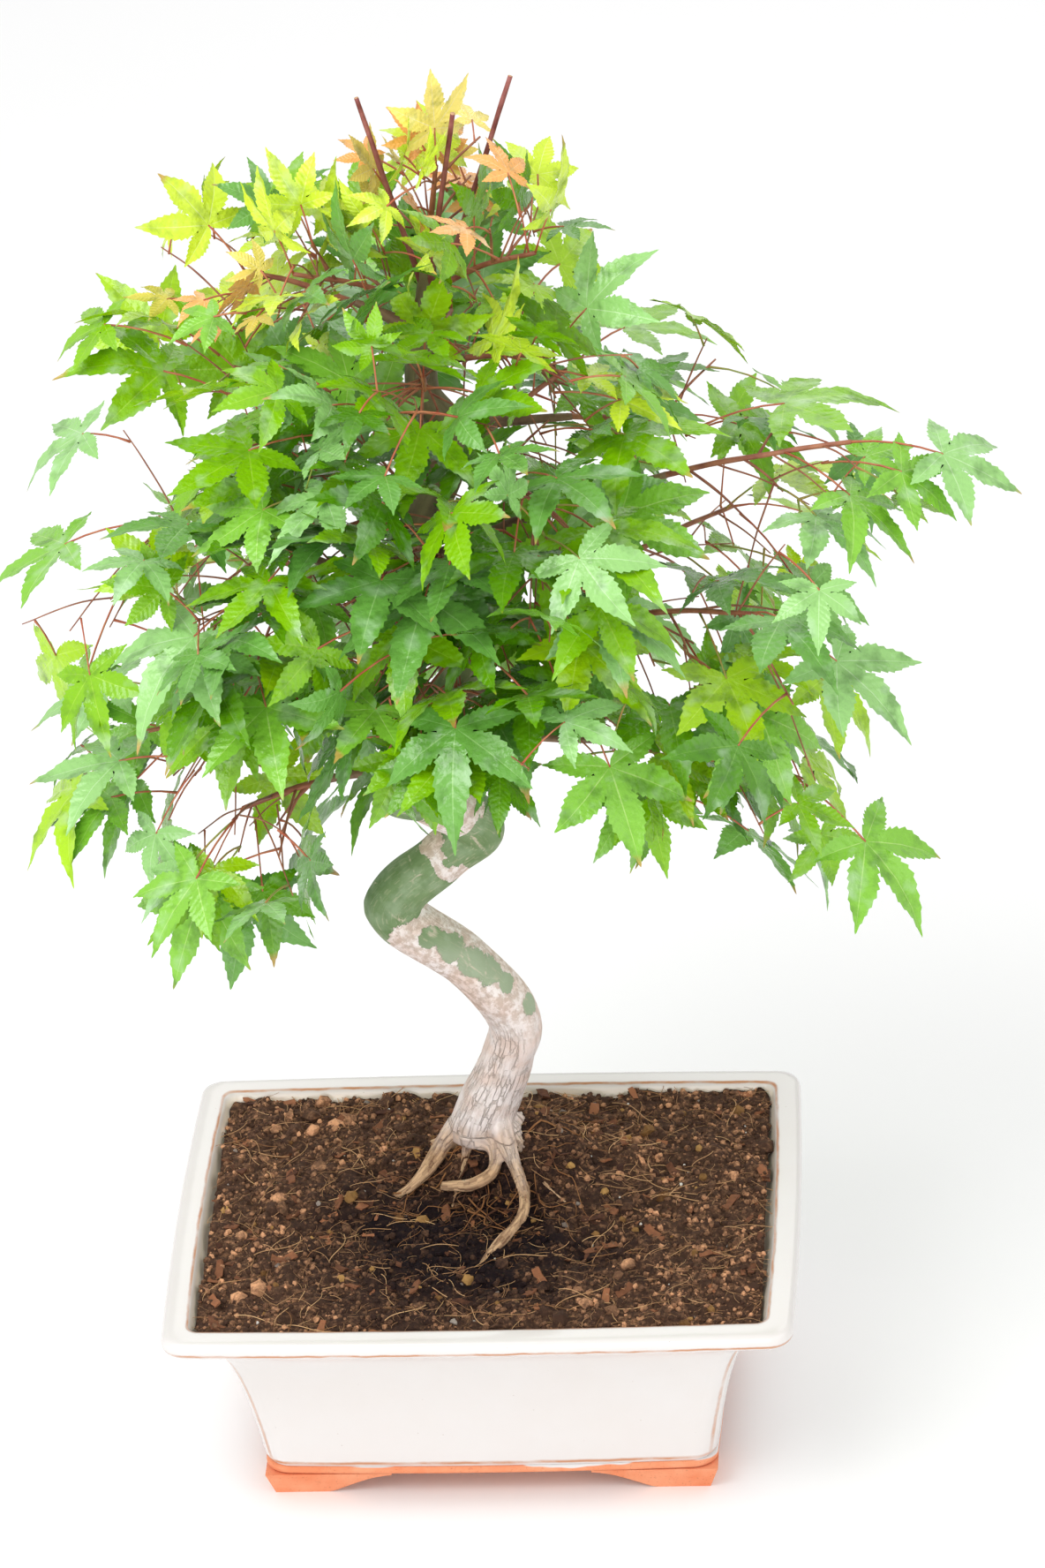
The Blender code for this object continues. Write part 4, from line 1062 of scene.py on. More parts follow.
def soil_material(name, settings, crumbs):
    """Peat and loam potting mix, watered and settled: matt, damp and dark round the trunk and to its
    front, drier and paler towards the rim, and paler at the back, which is painted light where the
    crown shades it. Darker patches are painted shade for its pits, and the ground under the crumbs
    is kept mostly dark, partly painted shade in the gaps. Few of its grains or crumbs are pale."""
    made = Finish(name, settings.dark, 0.95, Specular_IOR_Level=0.2)
    if crumbs:
        shade = (made.value("tone") + (made.grain(1.4, 5, 0.7) - 0.5) * 1.5).spread(0, 1)
    else:
        # The ground under the crumbs is mostly dark, partly painted shade in the gaps between them.
        shade = made.grain(2.2, 8, 0.7).spread(0.40, 0.74)
    inputs = {0: made.place, 1: tuple(PLAN + DAMP_PLACE)}
    away = node(made.tree, "ShaderNodeVectorMath", inputs, "Value", operation="DISTANCE")
    # Paler away from the damp patch: dryness, and painted light at the back where the crown shades the
    # soil.
    ragged = (made.grain(24, 5) - 0.5) * 0.08
    dry_and_lit_back = (away + ragged).spread(DAMP_RADIUS * 0.5, DAMP_RADIUS * 1.35)
    # Painted shade: darker patches about 9 mm across stand in for the shadows of pits.
    painted_pit_shade = made.grain(9, 5, 0.6).spread(0.40, 0.58) * 0.72 + 0.28
    pale = shade.step("POWER", 2.4) * ((dry_and_lit_back * 0.92 + 0.15) * painted_pit_shade)
    base = mixed(pale + dry_and_lit_back * 0.07, settings.dark, settings.light)
    if crumbs:
        return made.done(base, made.grain(0.6, 6), 0.3)
    return made.done(base, made.grain(0.9, 8, 0.75), 0.5)


def grain_material(name, dark, light, roughness, size):
    """A scattered stuff whose grains each have their own tone between two colours."""
    made = Finish(name, linear(dark), roughness, Specular_IOR_Level=0.3)
    fleck = (made.grain(size, 4) - 0.5) * 0.7
    base = mixed((made.value("tone") + fleck).spread(0, 1), dark, light)
    return made.done(base, made.grain(size * 0.5, 5), 0.2)


def vector_step(tree, operation, first, second):
    """An operation on two vectors, or on one and a number that scales it."""
    inputs = {0: first, "Scale" if operation == "SCALE" else 1: second}
    return node(tree, "ShaderNodeVectorMath", inputs, operation=operation)


def shaken(tree, shape, scale, detail, reach):
    """A shape with its points moved by noise, as far as the reach on each axis."""
    wobble = node(tree, "ShaderNodeTexNoise", {"Scale": scale, "Detail": detail}, "Color")
    push = vector_step(tree, "SUBTRACT", wobble, (0.5, 0.5, 0.5))
    inputs = {"Geometry": shape, "Offset": vector_step(tree, "MULTIPLY", push, reach)}
    return node(tree, "GeometryNodeSetPosition", inputs)


def flattened(tree, shape, width, inputs):
    size = node(tree, "ShaderNodeCombineXYZ", {"X": 1.0, "Y": width, "Z": inputs["Flatness"]})
    return node(tree, "GeometryNodeTransform", {"Geometry": shape, "Scale": size})


def lump(tree, inputs):
    """A small rough stone or crumb of 20 faces, flattened."""
    ball = node(tree, "GeometryNodeMeshIcoSphere", {"Radius": 1.0, "Subdivisions": 1})
    return flattened(tree, shaken(tree, ball, 1.7, 1.0, (1.5, 1.5, 1.5)), 0.8, inputs)


def splinter(tree, inputs):
    """A flat wood chip, longer than wide, with rough ends."""
    sizes = {"Size": (2.0, 0.7, 0.25), "Vertices X": 4, "Vertices Y": 2, "Vertices Z": 2}
    slab = node(tree, "GeometryNodeMeshCube", sizes)
    return flattened(tree, shaken(tree, slab, 1.3, 2.0, (0.9, 0.9, 0.9)), 1.0, inputs)


def fibre(tree, inputs):
    """A fine root fibre: a wandering three-sided thread that lies on the soil."""
    line = node(tree, "GeometryNodeCurvePrimitiveBezierSegment", {
        "Resolution": 11, "Start": (-1, 0, 0), "Start Handle": (-0.4, 0.34, 0.14),
        "End Handle": (0.25, -0.42, 0.10), "End": (1, 0.1, -0.02),
    })
    wander = shaken(tree, line, 2.3, 2.0, (0.6, 0.6, 0.1))
    sizes = {"Resolution": 3, "Radius": inputs["Flatness"]}
    section = node(tree, "GeometryNodeCurvePrimitiveCircle", sizes)
    rows = {"Curve": wander, "Profile Curve": section, "Fill Caps": True}
    return node(tree, "GeometryNodeCurveToMesh", rows)


SCATTER_INPUTS = (
    ("Geometry", "Geometry"), ("Per square metre", "Float"), ("Smallest", "Float"),
    ("Largest", "Float"), ("Flatness", "Float"), ("Sinking", "Float"), ("Tilt", "Float"),
    ("Seed", "Int"), ("Finish", "Material"),
)


def scatter_tree(name, shape):
    """Geometry nodes that strew a shape over the upward faces of a surface."""
    tree = bpy.data.node_groups.new(name, "GeometryNodeTree")
    for label, kind in SCATTER_INPUTS:
        tree.interface.new_socket(label, in_out="INPUT", socket_type="NodeSocket" + kind)
    tree.interface.new_socket("Geometry", in_out="OUTPUT", socket_type="NodeSocketGeometry")
    group = node(tree, "NodeGroupInput", out=None)
    inputs = {socket.name: Tone(socket) for socket in group.outputs}
    seed = inputs["Seed"]
    facing = node(tree, "ShaderNodeSeparateXYZ", {0: node(tree, "GeometryNodeInputNormal")}, "Z")
    upward = node(tree, "FunctionNodeCompare", {0: facing, 1: 0.3}, operation="GREATER_THAN")
    points = node(tree, "GeometryNodeDistributePointsOnFaces", {
        "Mesh": inputs["Geometry"], "Selection": upward, "Density": inputs["Per square metre"],
        "Seed": seed,
    })
    leaning = vector_step(tree, "SCALE", (1.0, 1.0, 0.0), inputs["Tilt"])
    ends = {0: vector_step(tree, "SCALE", leaning, -1.0)}
    ends.update({1: vector_step(tree, "ADD", leaning, (0, 0, math.tau)), "Seed": seed})
    turn = node(tree, "FunctionNodeRandomValue", ends, data_type="FLOAT_VECTOR")
    kind = {"kind": "FunctionNodeRandomValue", "out": 1, "data_type": "FLOAT"}
    small = node(tree, inputs={2: 0.0, 3: 1.0, "Seed": seed}, **kind)
    size = small * small * (inputs["Largest"] - inputs["Smallest"]) + inputs["Smallest"]
    strewn = node(tree, "GeometryNodeInstanceOnPoints", {
        "Points": points, "Instance": shape(tree, inputs), "Rotation": turn, "Scale": size,
    })
    sunk = node(tree, "ShaderNodeCombineXYZ", {"Z": size * inputs["Sinking"]})
    lowered = node(tree, "GeometryNodeSetPosition", {"Geometry": strewn, "Offset": sunk})
    shade = node(tree, inputs={2: 0.0, 3: 1.0, "Seed": 3}, **kind)
    rows = {"Geometry": lowered, "Name": "tone", "Value": shade}
    toned = node(
        tree, "GeometryNodeStoreNamedAttribute", rows, data_type="FLOAT", domain="INSTANCE",
    )
    real = node(tree, "GeometryNodeRealizeInstances", {"Geometry": toned})
    rows = {"Geometry": real, "Material": inputs["Finish"]}
    node(tree, "NodeGroupOutput", {0: node(tree, "GeometryNodeSetMaterial", rows)}, None)
    return tree


def strew(name, surface, tree, values):
    """Run a scatter tree over the soil's surface and keep what it makes as a plain piece."""
    carrier = placed(name + "_carrier", surface.copy())
    step = modify(carrier, "NODES", node_group=tree)
    for item in tree.interface.items_tree:
        if item.in_out == "INPUT" and item.name in values:
            step[item.identifier] = values[item.name]
    mesh = applied(carrier)
    if len(mesh.polygons) == 0:
        raise RuntimeError(name + " strewed nothing")
    mesh.shade_flat()
    dress(add_piece(name, mesh), "soil")


class BONSAI_OT_soil(bpy.types.Operator):
    """Build the soil with its crumbs, chips, stones and root fibres"""

    bl_idname = "bonsai.soil"
    bl_label = "Build soil"

    def execute(self, context):
        settings = context.scene.bonsai_soil
        surface = soil_mesh()
        ground = surface.copy()
        ground.materials.append(soil_material("potting_soil", settings, False))
        ground.shade_smooth()
        dress(add_piece("soil_surface", ground), "soil", "soil")
        lumps = scatter_tree("strew_lumps", lump)
        chips = scatter_tree("strew_chips", splinter)
        fibres = scatter_tree("strew_fibres", fibre)
        crumb = soil_material("soil_crumb", settings, True)
        tan = grain_material("tan_grit", "#5E3C1C", "#B48A50", 0.8, 1.5)
        grey = grain_material("grey_grit", "#6F625A", "#A79C93", 0.75, 1.5)
        white = grain_material("perlite_grain", "#D8D4CB", "#F2F0EA", 0.9, 0.8)
        wood = grain_material("bark_chip", "#3A2016", "#9A6444", 0.85, 2.0)
        thread = grain_material("root_fibre", "#8A5E3A", "#D8AE7E", 0.8, 4.0)
        fine = grain_material("fine_fibre", "#6E4A30", "#C2946A", 0.8, 3.0)
        # Each kind: number on a square metre, smallest and largest in mm, flatness, sinking, tilt.
        for index, (name, tree, number, small, large, flat, sinking, tilt, finish) in enumerate((
            ("soil_crumbs", lumps, settings.crumbs, 0.35, 1.5, 0.75, 0.1, 3.1, crumb),
            ("soil_clods", lumps, settings.crumbs / CRUMBS_TO_A_CLOD, 1.4, 4.2, 0.7, -0.1, 0.5, crumb),
            ("tan_stones", lumps, 1700, 0.7, 3.2, 0.8, 0.0, 0.6, tan),
            ("grey_stones", lumps, 700, 0.6, 2.2, 0.6, 0.0, 0.6, grey),
            ("white_grains", lumps, 900, 0.3, 0.7, 0.9, 0.4, 3.1, white),
            ("wood_chips", chips, 5200, 1.3, 4.2, 1.0, 0.15, 0.35, wood),
            ("root_fibres", fibres, settings.fibres, 3.0, 12.0, 0.014, 0.03, 0.16, thread),
            ("fine_fibres", fibres, settings.fibres * FINE_TO_COARSE, 1.6, 5.5, 0.022, 0.06, 0.30, fine),
        )):
            strew(name, surface, tree, {
                "Per square metre": float(number), "Smallest": small * MM, "Largest": large * MM,
                "Flatness": flat, "Sinking": sinking, "Tilt": tilt,
                "Seed": settings.seed + index, "Finish": finish,
            })
        bpy.data.meshes.remove(surface)
        return {"FINISHED"}


# Bark

def bark_material(settings):
    """Maple bark: grey pink cork with brown cracks at the foot, flaking above them, waxy jade with
    tan scars where the cork is thin, dark olive in the crown, and olive tan on the roots."""
    made = Finish("maple_bark", settings.cork, 0.8, Specular_IOR_Level=0.35)
    tree = made.tree
    grain = made.grain
    height = made.height()
    bark = node(tree, "ShaderNodeCombineXYZ", {
        "X": made.value("round_x"), "Y": made.value("round_y"), "Z": made.value("along"),
    })
    bark = node(tree, "ShaderNodeMapping", {"Vector": bark, "Scale": (1, 1, 0.25)})
    fine = grain(0.9, 6, 0.65, bark)
    jolt = node(tree, "ShaderNodeTexNoise", {"Vector": bark, "Scale": 700.0, "Detail": 3.0}, "Color")
    jolted = vector_step(tree, "ADD", bark, vector_step(tree, "SCALE", jolt, 0.0011))
    plates = made.cells(1.9, jolted, "DISTANCE_TO_EDGE")
    cleft = plates.spread(0.10, 0.02) * grain(5, 4, place=bark).spread(0.42, 0.56)
    cork = mixed(grain(10, 4).spread(0.38, 0.58), "#F0DAD0", settings.cork)
    cork = mixed(grain(2.2, 6, 0.6, bark).spread(0.50, 0.36) * 0.16, cork, "#D6C4B8")
    smooth = height.spread(*FLAKY_HEIGHTS)
    cork = mixed(grain(2.6, 7, 0.7).spread(0.56, 0.44) * (smooth * 0.62), cork, "#BC9F8A")
    cork = mixed(fine.spread(0.45, 0.31) * 0.3, cork, settings.fissure)
    cleft = cleft * (1.0 - smooth * 0.85)
    cracked = made.value("crack").step("MAXIMUM", cleft)
    cork = mixed(cracked * 0.5, cork, settings.fissure)
    root = mixed(grain(1.8, 5, place=bark).spread(0.36, 0.56), "#7E5C44", "#D4AE88")
    low = height + grain(8, 3) * 0.012
    cork = mixed(low.spread(*ROOT_HEIGHTS), cork, root)
    jade = mixed(grain(6, 5, place=bark).spread(0.3, 0.7), settings.jade, "#849C6E")
    jade = mixed(height.spread(*THIN_JADE_HEIGHTS) * 0.62, jade, "#B2BCA4")
    jade = mixed(fine.spread(0.54, 0.70) * 0.5, jade, "#CFC3AA")
    jade = mixed(grain(7, 4).spread(0.46, 0.66) * 0.30, jade, "#B7C6AC")
    scratch = made.cells(13, feature="DISTANCE_TO_EDGE").spread(0.030, 0.012)
    scratch = scratch * fine.spread(0.40, 0.55) * grain(9, 2).spread(0.50, 0.58)
    jade = mixed(scratch * 0.65, jade, "#D8C9B6")
    olive = mixed(grain(5, 5, place=bark).spread(0.35, 0.65), "#5E5238", "#857C58")
    ragged = (grain(4, 7, 0.7) - 0.5) * 2.4
    green = (made.value("green") + ragged).spread(0.46, 0.54)
    base = mixed(green, cork, jade)
    base = mixed(height.spread(*OLIVE_HEIGHTS), base, olive)
    relief = (fine - cleft * 1.2) * (1.0 - green * 0.75)
    return made.done(base, relief, 0.35, 0.85 - green * 0.28)


def twig_material(name, dark, pale):
    """Young maple bark: thin and satin, red brown, paler where the light has weathered it."""
    dark = linear(dark) if isinstance(dark, str) else dark
    made = Finish(name, dark, 0.5, Specular_IOR_Level=0.4)
    tone = made.grain(7, 5).spread(0.35, 0.65)
    return made.done(mixed(tone, dark, pale), made.grain(1.2, 4), 0.10)


def nearest_limb(limbs):
    """What gives, for a place, the frame of the nearest stop of any limb and how far along it is."""
    samples = []
    for path in limbs:
        travelled = 0.0
        before = path[0][0]
        for frame_here in frames(path):
            travelled += (frame_here[0] - before).length
            before = frame_here[0]
            samples.append((*frame_here, travelled))
    search = KDTree(len(samples))
    for index, sample in enumerate(samples):
        search.insert(sample[0], index)
    search.balance()
    return lambda place: samples[search.find(place)[1]]


def greenness(place, along):
    """How thin the cork is at a place on the trunk: 1 is bare green bark."""
    along += noise.noise(place / GREEN_WANDER_LENGTH) * GREEN_WANDER
    green = clamped((along - GREEN_START) / GREEN_FADE)
    for low, high in CORKY_SCARS:
        inside = min(along - low * MM, high * MM - along) / GREEN_FADE
        green = min(green, clamped(1 - inside))
    for centre, radius in JADE_PATCHES:
        away = (place - Vector(centre) * MM).length / (radius * MM)
        green = max(green, clamped((PATCH_REACH - away) * PATCH_SHARPNESS))
    return green


def carve_bark(mesh, limbs, relief):
    """Give a trunk mesh its relief along its normals, and keep where each point is on its limb."""
    on_any = nearest_limb(limbs)
    on_trunk = nearest_limb(limbs[:1])
    columns = {"round_x": [], "round_y": [], "along": [], "crack": [], "green": []}
    moved = []
    for vertex in mesh.vertices:
        place = vertex.co.copy()
        nearest = on_trunk if place.z > ROOTS_END else on_any
        centre, radius, across, third, along = nearest(place)
        x = (place - centre).dot(across)
        y = (place - centre).dot(third)
        size = max(math.hypot(x, y), 1e-6)
        x = x / size * radius
        y = y / size * radius
        old = clamped((SMOOTH_BARK_HEIGHT - place.z) / SMOOTH_BARK_FADE)
        narrow = FISSURE_WIDTH * MM
        spot = Vector((x / narrow, y / narrow, along / (FISSURE_LENGTH * MM)))
        ridge = 1 - min(1.0, abs(noise.noise(spot)) * RIDGE_SHARPNESS)
        ridge *= 0.5 + noise.noise(spot * 0.5 + UP * 7)
        crack = max(0.0, ridge) * (YOUNG_CRACKS + (1 - YOUNG_CRACKS) * old)
        lump = noise.noise(place / (LUMP_SIZE * MM)) * LUMP_HEIGHT * (0.6 + 0.8 * old)
        spot = Vector((x / FLUTE_WIDTH, y / FLUTE_WIDTH, along / FLUTE_LENGTH))
        push = lump - crack * FISSURE_DEPTH + noise.noise(spot) * FLUTE_DEPTH * (0.4 + old)
        for knot, width, lift in KNOTS:
            away = (place - Vector(knot) * MM).length / (width * MM)
            if away < KNOT_REACH:
                push += lift * MM * (math.exp(-away * away) - 0.9 * math.exp(-(away * 2.6) ** 2))
        moved.extend(place + vertex.normal * push * relief)
        for name, value in zip(columns, (x, y, along, crack, greenness(place, along))):
            columns[name].append(value)
    mesh.vertices.foreach_set("co", moved)
    keep_values(mesh, columns)


def grown_together(limbs, sides):
    """One skin round limbs that run into each other, as wood grows."""
    heap = Heap()
    for path in limbs:
        heap.add(*capped_tube(path, sides))
    wood = placed("wood", heap.mesh("wood"))
    modify(wood, "REMESH", mode="VOXEL", voxel_size=BARK_VOXEL)
    modify(wood, "SMOOTH", factor=0.5, iterations=6)
    return applied(wood)


def cut_level(mesh, height):
    """Cut a closed mesh level at a height, and cap it."""
    bm = bmesh.new()
    bm.from_mesh(mesh)
    geometry = [*bm.verts, *bm.edges, *bm.faces]
    bmesh.ops.bisect_plane(bm, geom=geometry, plane_co=(0, 0, height), plane_no=UP, clear_inner=True)
    bmesh.ops.holes_fill(bm, edges=boundary(bm))
    bmesh.ops.triangulate(bm, faces=[face for face in bm.faces if len(face.verts) > 4])
    bm.to_mesh(mesh)
    bm.free()


def rootlet_path(rng):
    """A hair root that runs out from the trunk's foot over the soil, dips and thins."""
    angle = math.radians(rng.uniform(*ROOTLET_TURN))
    start = rng.uniform(*ROOTLET_START) * MM
    length = rng.uniform(*ROOTLET_LENGTH) * MM
    bend = rng.uniform(-ROOTLET_BEND, ROOTLET_BEND)
    radius = rng.uniform(*ROOTLET_RADIUS)
    stops = []
    for t in shares(ROOTLET_POINTS - 1):
        way = angle + bend * t + rng.uniform(-ROOTLET_STRAY, ROOTLET_STRAY)
        out = start + length * t
        x = ROOTLET_CENTRE.x + out * math.cos(way)
        y = ROOTLET_CENTRE.y + out * math.sin(way)
        lift = (1 - t) * rng.uniform(*ROOTLET_LIFT) * MM + ROOTLET_CLEARANCE
        height = soil_height(x, y) + lift
        stops.append((x / MM, y / MM, height / MM, radius * (1 - ROOTLET_TAPER * t)))
    return smooth_path(stops, ROOTLET_SPACING)


def make_rootlets():
    """The hair roots round the trunk's foot, of two tones by turns."""
    rng = random.Random(ROOTLET_SEED)
    heap = Heap()
    for index in range(ROOTLETS):
        heap.add(*capped_tube(rootlet_path(rng), ROOTLET_SIDES), index % 2)
    finishes = [
        grain_material("old_hair_root", "#4E3020", "#94663F", 0.75, 3.0),
        grain_material("young_hair_root", "#8C5E38", "#CCA070", 0.75, 3.0),
    ]
    dress(heap.finish("hair_roots", finishes), "bark")


class BONSAI_OT_trunk(bpy.types.Operator):
    """Build the trunk and its bared roots with the bark's relief, and the hair roots round them"""

    bl_idname = "bonsai.trunk"
    bl_label = "Build trunk"

    def execute(self, context):
        settings = context.scene.bonsai_bark
        path = smooth_path(TRUNK_BENDS, TRUNK_RING_SPACING)
        whole = smooth_path(TRUNK_BENDS, BARK_SPACING)
        limbs = [[stop for stop in whole if stop[0].z > TRUNK_FOOT]]
        limbs += [finer(root_path(path, *sizes), BARK_SPACING) for sizes in ROOTS]
        limbs += [smooth_path(stops, BARK_SPACING) for stops in BARED_ROOTS]
        mesh = grown_together(limbs, TRUNK_SIDES)
        cut_level(mesh, SOIL_TOP - CUT_DEPTH)
        carve_bark(mesh, limbs, settings.relief)
        mesh.materials.clear()
        mesh.materials.append(bark_material(settings))
        mesh.shade_smooth()
        dress(add_piece("trunk_bark", mesh), "bark", "trunk")
        make_rootlets()
        return {"FINISHED"}


# The crown's rule, as in the solids

class Mass:
    """One mass of foliage: its furthest tip, the way out to it and the middle of its space."""

    def __init__(self, row, index, trunk_path, seed):
        self.name, direction, reach, height, spring, self.share, self.fullness = row
        self.random = random.Random(seed * 100 + index)
        self.level = level_way(math.radians(direction))
        self.tip = Vector((CROWN_HEART.x, CROWN_HEART.y, 0)) + self.level * reach * MM
        self.tip.z = height * MM
        self.root = trunk_point(trunk_path, spring * MM)
        young = max(0.0, (self.tip.z - FULL_LEAF_HEIGHT) / (APEX_HEIGHT - FULL_LEAF_HEIGHT))
        self.leaf_share = 1 - (1 - YOUNG_LEAF_SHARE) * young
        self.outward = (self.tip - CROWN_HEART).normalized()
        self.centre = self.root.lerp(self.tip, SPACE_CENTRE_SHARE)
        self.stem = []
        self.shoots = []
        self.leaves = []
        self.sprays = random.Random(seed * 1000 + index)
        self.spray = 0.5
        self.fine = False

    def draw(self, ends):
        return self.random.uniform(*ends)

    def stray(self):
        """A small random vector, drawn from the mass's own seed."""
        return Vector([self.random.uniform(-1, 1) for axis in range(3)])


def outline_height(outline, x):
    """The height of an outline at x, both in metres."""
    x = max(outline[0][0] * MM, min(outline[-1][0] * MM, x))
    for (left, low), (right, high) in zip(outline, outline[1:]):
        if x <= right * MM:
            return (low + (high - low) * (x / MM - left) / (right - left)) * MM
    return outline[-1][1] * MM


def in_outline(point):
    """True if a point lies within the crown's outline, front, middle or back."""
    depth = point.y - CROWN_HEART.y
    x = point.x + SHIFT_WITH_DEPTH * depth
    top = outline_height(CROWN_TOP, x) - FALL_WITH_DEPTH * abs(depth)
    foot = outline_height(CROWN_FOOT, x) + FALL_WITH_DEPTH * max(-depth, 0)
    return foot - OUTLINE_SLACK <= point.z <= top + OUTLINE_SLACK


def holds(mass, masses, points):
    """True if the points lie in the mass's own space: nearer its centre than any other's, give or
    take a lapping lobe, not past its tip, and within the crown's outline."""
    limit = (mass.tip - CROWN_HEART).dot(mass.outward)
    for point in points:
        if (point - CROWN_HEART).dot(mass.outward) > limit or not in_outline(point):
            return False
    for other in masses:
        if other is mass:
            continue
        away = (other.centre - mass.centre).normalized()
        middle = (other.centre + mass.centre) / 2
        for point in points:
            if (point - middle).dot(away) > SPACE_LAP:
                return False
    return True


def blade_ring():
    """The ten outline points of a leaf of length 1: lobe tips and the notches between them."""
    half = [LOBES[0], NOTCHES[0], LOBES[1], NOTCHES[1], LOBES[2]]
    turns = half + [(180, BASE_SHARE)] + [(-angle, size) for angle, size in reversed(half[1:])]
    ring = []
    for angle, size in turns:
        turn = math.radians(angle)
        droop = -BLADE_DROOP * size ** 2
        ring.append(Vector((size * math.cos(turn), size * math.sin(turn), droop)))
    return ring


class Leaf:
    """A leaf: the foot of its stalk, the point where the blade joins it, its turn and its size."""

    def __init__(self, foot, stalk_way, stalk_length, lobe_way, face_way, size):
        self.foot = foot
        self.joint = foot + stalk_way * stalk_length
        along = lobe_way.normalized()
        face = (face_way - along * face_way.dot(along)).normalized()
        self.turn = Matrix((along, face.cross(along), face)).transposed()
        self.size = size

    def out_on(self, share):
        """The point of the blade's middle line at a share of its length."""
        return self.joint + self.turn.col[0] * self.size * share

    def outline(self, scale=1.0):
        """The blade's ten outline points, in their place."""
        return [self.joint + self.turn @ (point * self.size * scale) for point in blade_ring()]

    def shell(self, room=BLADE_ROOM):
        """Vertices and faces of the blade's two sides, scaled by the room it needs."""
        ring = self.outline(room)
        lift = self.turn.col[2] * (BLADE_THICKNESS / 2 + GAP * 2)
        faces = []
        for index in range(len(ring)):
            after = (index + 1) % len(ring)
            faces.append((index, after, len(ring)))
            faces.append((after, index, len(ring) + 1))
        return ring + [self.joint + lift, self.joint - lift], faces


def leaf_ways(mass, stalk_way, droop):
    """The way a blade's middle lobe points and the way its face looks: out, down and to the light."""
    stray = mass.stray() * (FINE_STRAY if mass.fine else LEAF_STRAY)
    lobe_way = stalk_way + mass.outward * LOBE_OUTWARD - UP * droop + stray
    face_way = UP * FACE_UP + mass.level * FACE_OUT + FRONT * FACE_FRONT + stray
    return lobe_way, face_way


def tip_leaf(mass):
    """The leaf whose middle lobe ends exactly at the mass's tip."""
    droop = TIP_DROOP * (1 - max(0.0, mass.outward.z))
    lobe_way, face_way = leaf_ways(mass, mass.outward, droop)
    size = BLADE_LENGTH * mass.leaf_share * mass.random.uniform(1.0, 1.0 + BLADE_VARIATION)
    leaf = Leaf(mass.tip, mass.outward, 0, lobe_way, face_way, size)
    leaf.joint += mass.tip - leaf.outline()[0]
    leaf.foot = leaf.joint - mass.outward * STALK_LENGTH * mass.leaf_share * TIP_STALK_SHARE
    return leaf


def read_line(line, share):
    """The point at a share of a line's steps."""
    place = share * (len(line) - 1)
    index = min(int(place), len(line) - 2)
    return line[index].lerp(line[index + 1], place - index)


def line_distance(point, start, end):
    """How far a point is from a straight stretch."""
    along = end - start
    share = clamped((point - start).dot(along) / along.length_squared)
    return (point - start - along * share).length


def ball_round(vertices):
    """The middle of some vertices, and how far the furthest is from it."""
    middle = sum(vertices, Vector()) / len(vertices)
    return middle, max((vertex - middle).length for vertex in vertices)


def shoot_shell(start, end):
    return tube_shell([(start, SHOOT_RADIUS), (end, SHOOT_TIP_RADIUS)], GAP, TWIG_SIDES)


def stalk_shell(leaf):
    return tube_shell([(leaf.foot, STALK_RADIUS), (leaf.joint, STALK_RADIUS)], GAP, TWIG_SIDES)


class Crown:
    """All that has grown so far: the limbs' shell, and a shell for each twig, stalk and blade."""

    def __init__(self, masses, limbs):
        self.masses = masses
        self.limbs = limbs
        self.shells = []

    def free(self, vertices, faces, foot):
        """True if a shape is off all limbs and all that grew before, but for what it grows from."""
        tree = BVHTree.FromPolygons(vertices, faces)
        if self.limbs.overlap(tree):
            return False
        middle, reach = ball_round(vertices)
        for shell, centre, radius, ends in self.shells:
            if (centre - middle).length > radius + reach:
                continue
            if foot and ends and line_distance(foot, *ends) < FOOT_CLEARANCE:
                continue
            if shell.overlap(tree):
                return False
        return True

    def keep(self, vertices, faces, ends):
        self.shells.append((BVHTree.FromPolygons(vertices, faces), *ball_round(vertices), ends))

    def add_stem(self, mass, stops):
        """Grow the mass's stem, which always has its room, tapering from node to node."""
        for stop, share in zip(stops, shares(len(stops) - 1)):
            mass.stem.append((stop, STEM_RADIUS + (STEM_END_RADIUS - STEM_RADIUS) * share))
        self.keep_stem(mass)

    def keep_stem(self, mass):
        for start, end in zip(mass.stem, mass.stem[1:]):
            self.keep(*tube_shell([start, end], GAP, TWIG_SIDES), (start[0], end[0]))

    def take_room_again(self):
        """Keep the room of all that has grown, now that its leaves have their true size."""
        self.shells = []
        for mass in self.masses:
            self.keep_stem(mass)
            for start, end, _ in mass.shoots:
                self.keep(*shoot_shell(start, end), (start, end))
            for leaf in mass.leaves:
                self.keep_leaf(leaf, FINE_ROOM)

    def keep_leaf(self, leaf, room):
        self.keep(*leaf.shell(room), ())
        self.keep(*stalk_shell(leaf), (leaf.foot, leaf.foot.lerp(leaf.joint, 0.1)))

    def add_shoot(self, mass, start, end):
        """Grow a side shoot if it has room."""
        vertices, faces = shoot_shell(start, end)
        if not holds(mass, self.masses, [end]) or not self.free(vertices, faces, start):
            return False
        mass.shoots.append((start, end, mass.fine))
        self.keep(vertices, faces, (start, end))
        return True

    def add_leaf(self, mass, leaf, sure=False):
        """Grow a leaf if its stalk and blade have room."""
        room = FINE_ROOM if mass.fine else BLADE_ROOM
        vertices, faces = leaf.shell(room)
        if mass.fine and (in_sky(leaf) or not in_reach(leaf.outline())):
            return False
        if not sure:
            if not holds(mass, self.masses, leaf.outline() if mass.fine else vertices):
                return False
            if not self.free(vertices, faces, None) or not self.free(*stalk_shell(leaf), leaf.foot):
                return False
        leaf.spray = mass.spray
        leaf.fine = mass.fine
        mass.leaves.append(leaf)
        self.keep_leaf(leaf, room)
        return True


def turned_side(along, rng):
    """A way square to another, turned round it by chance."""
    side = along.orthogonal().normalized()
    side.rotate(Matrix.Rotation(rng.uniform(0, math.tau), 3, along))
    return side


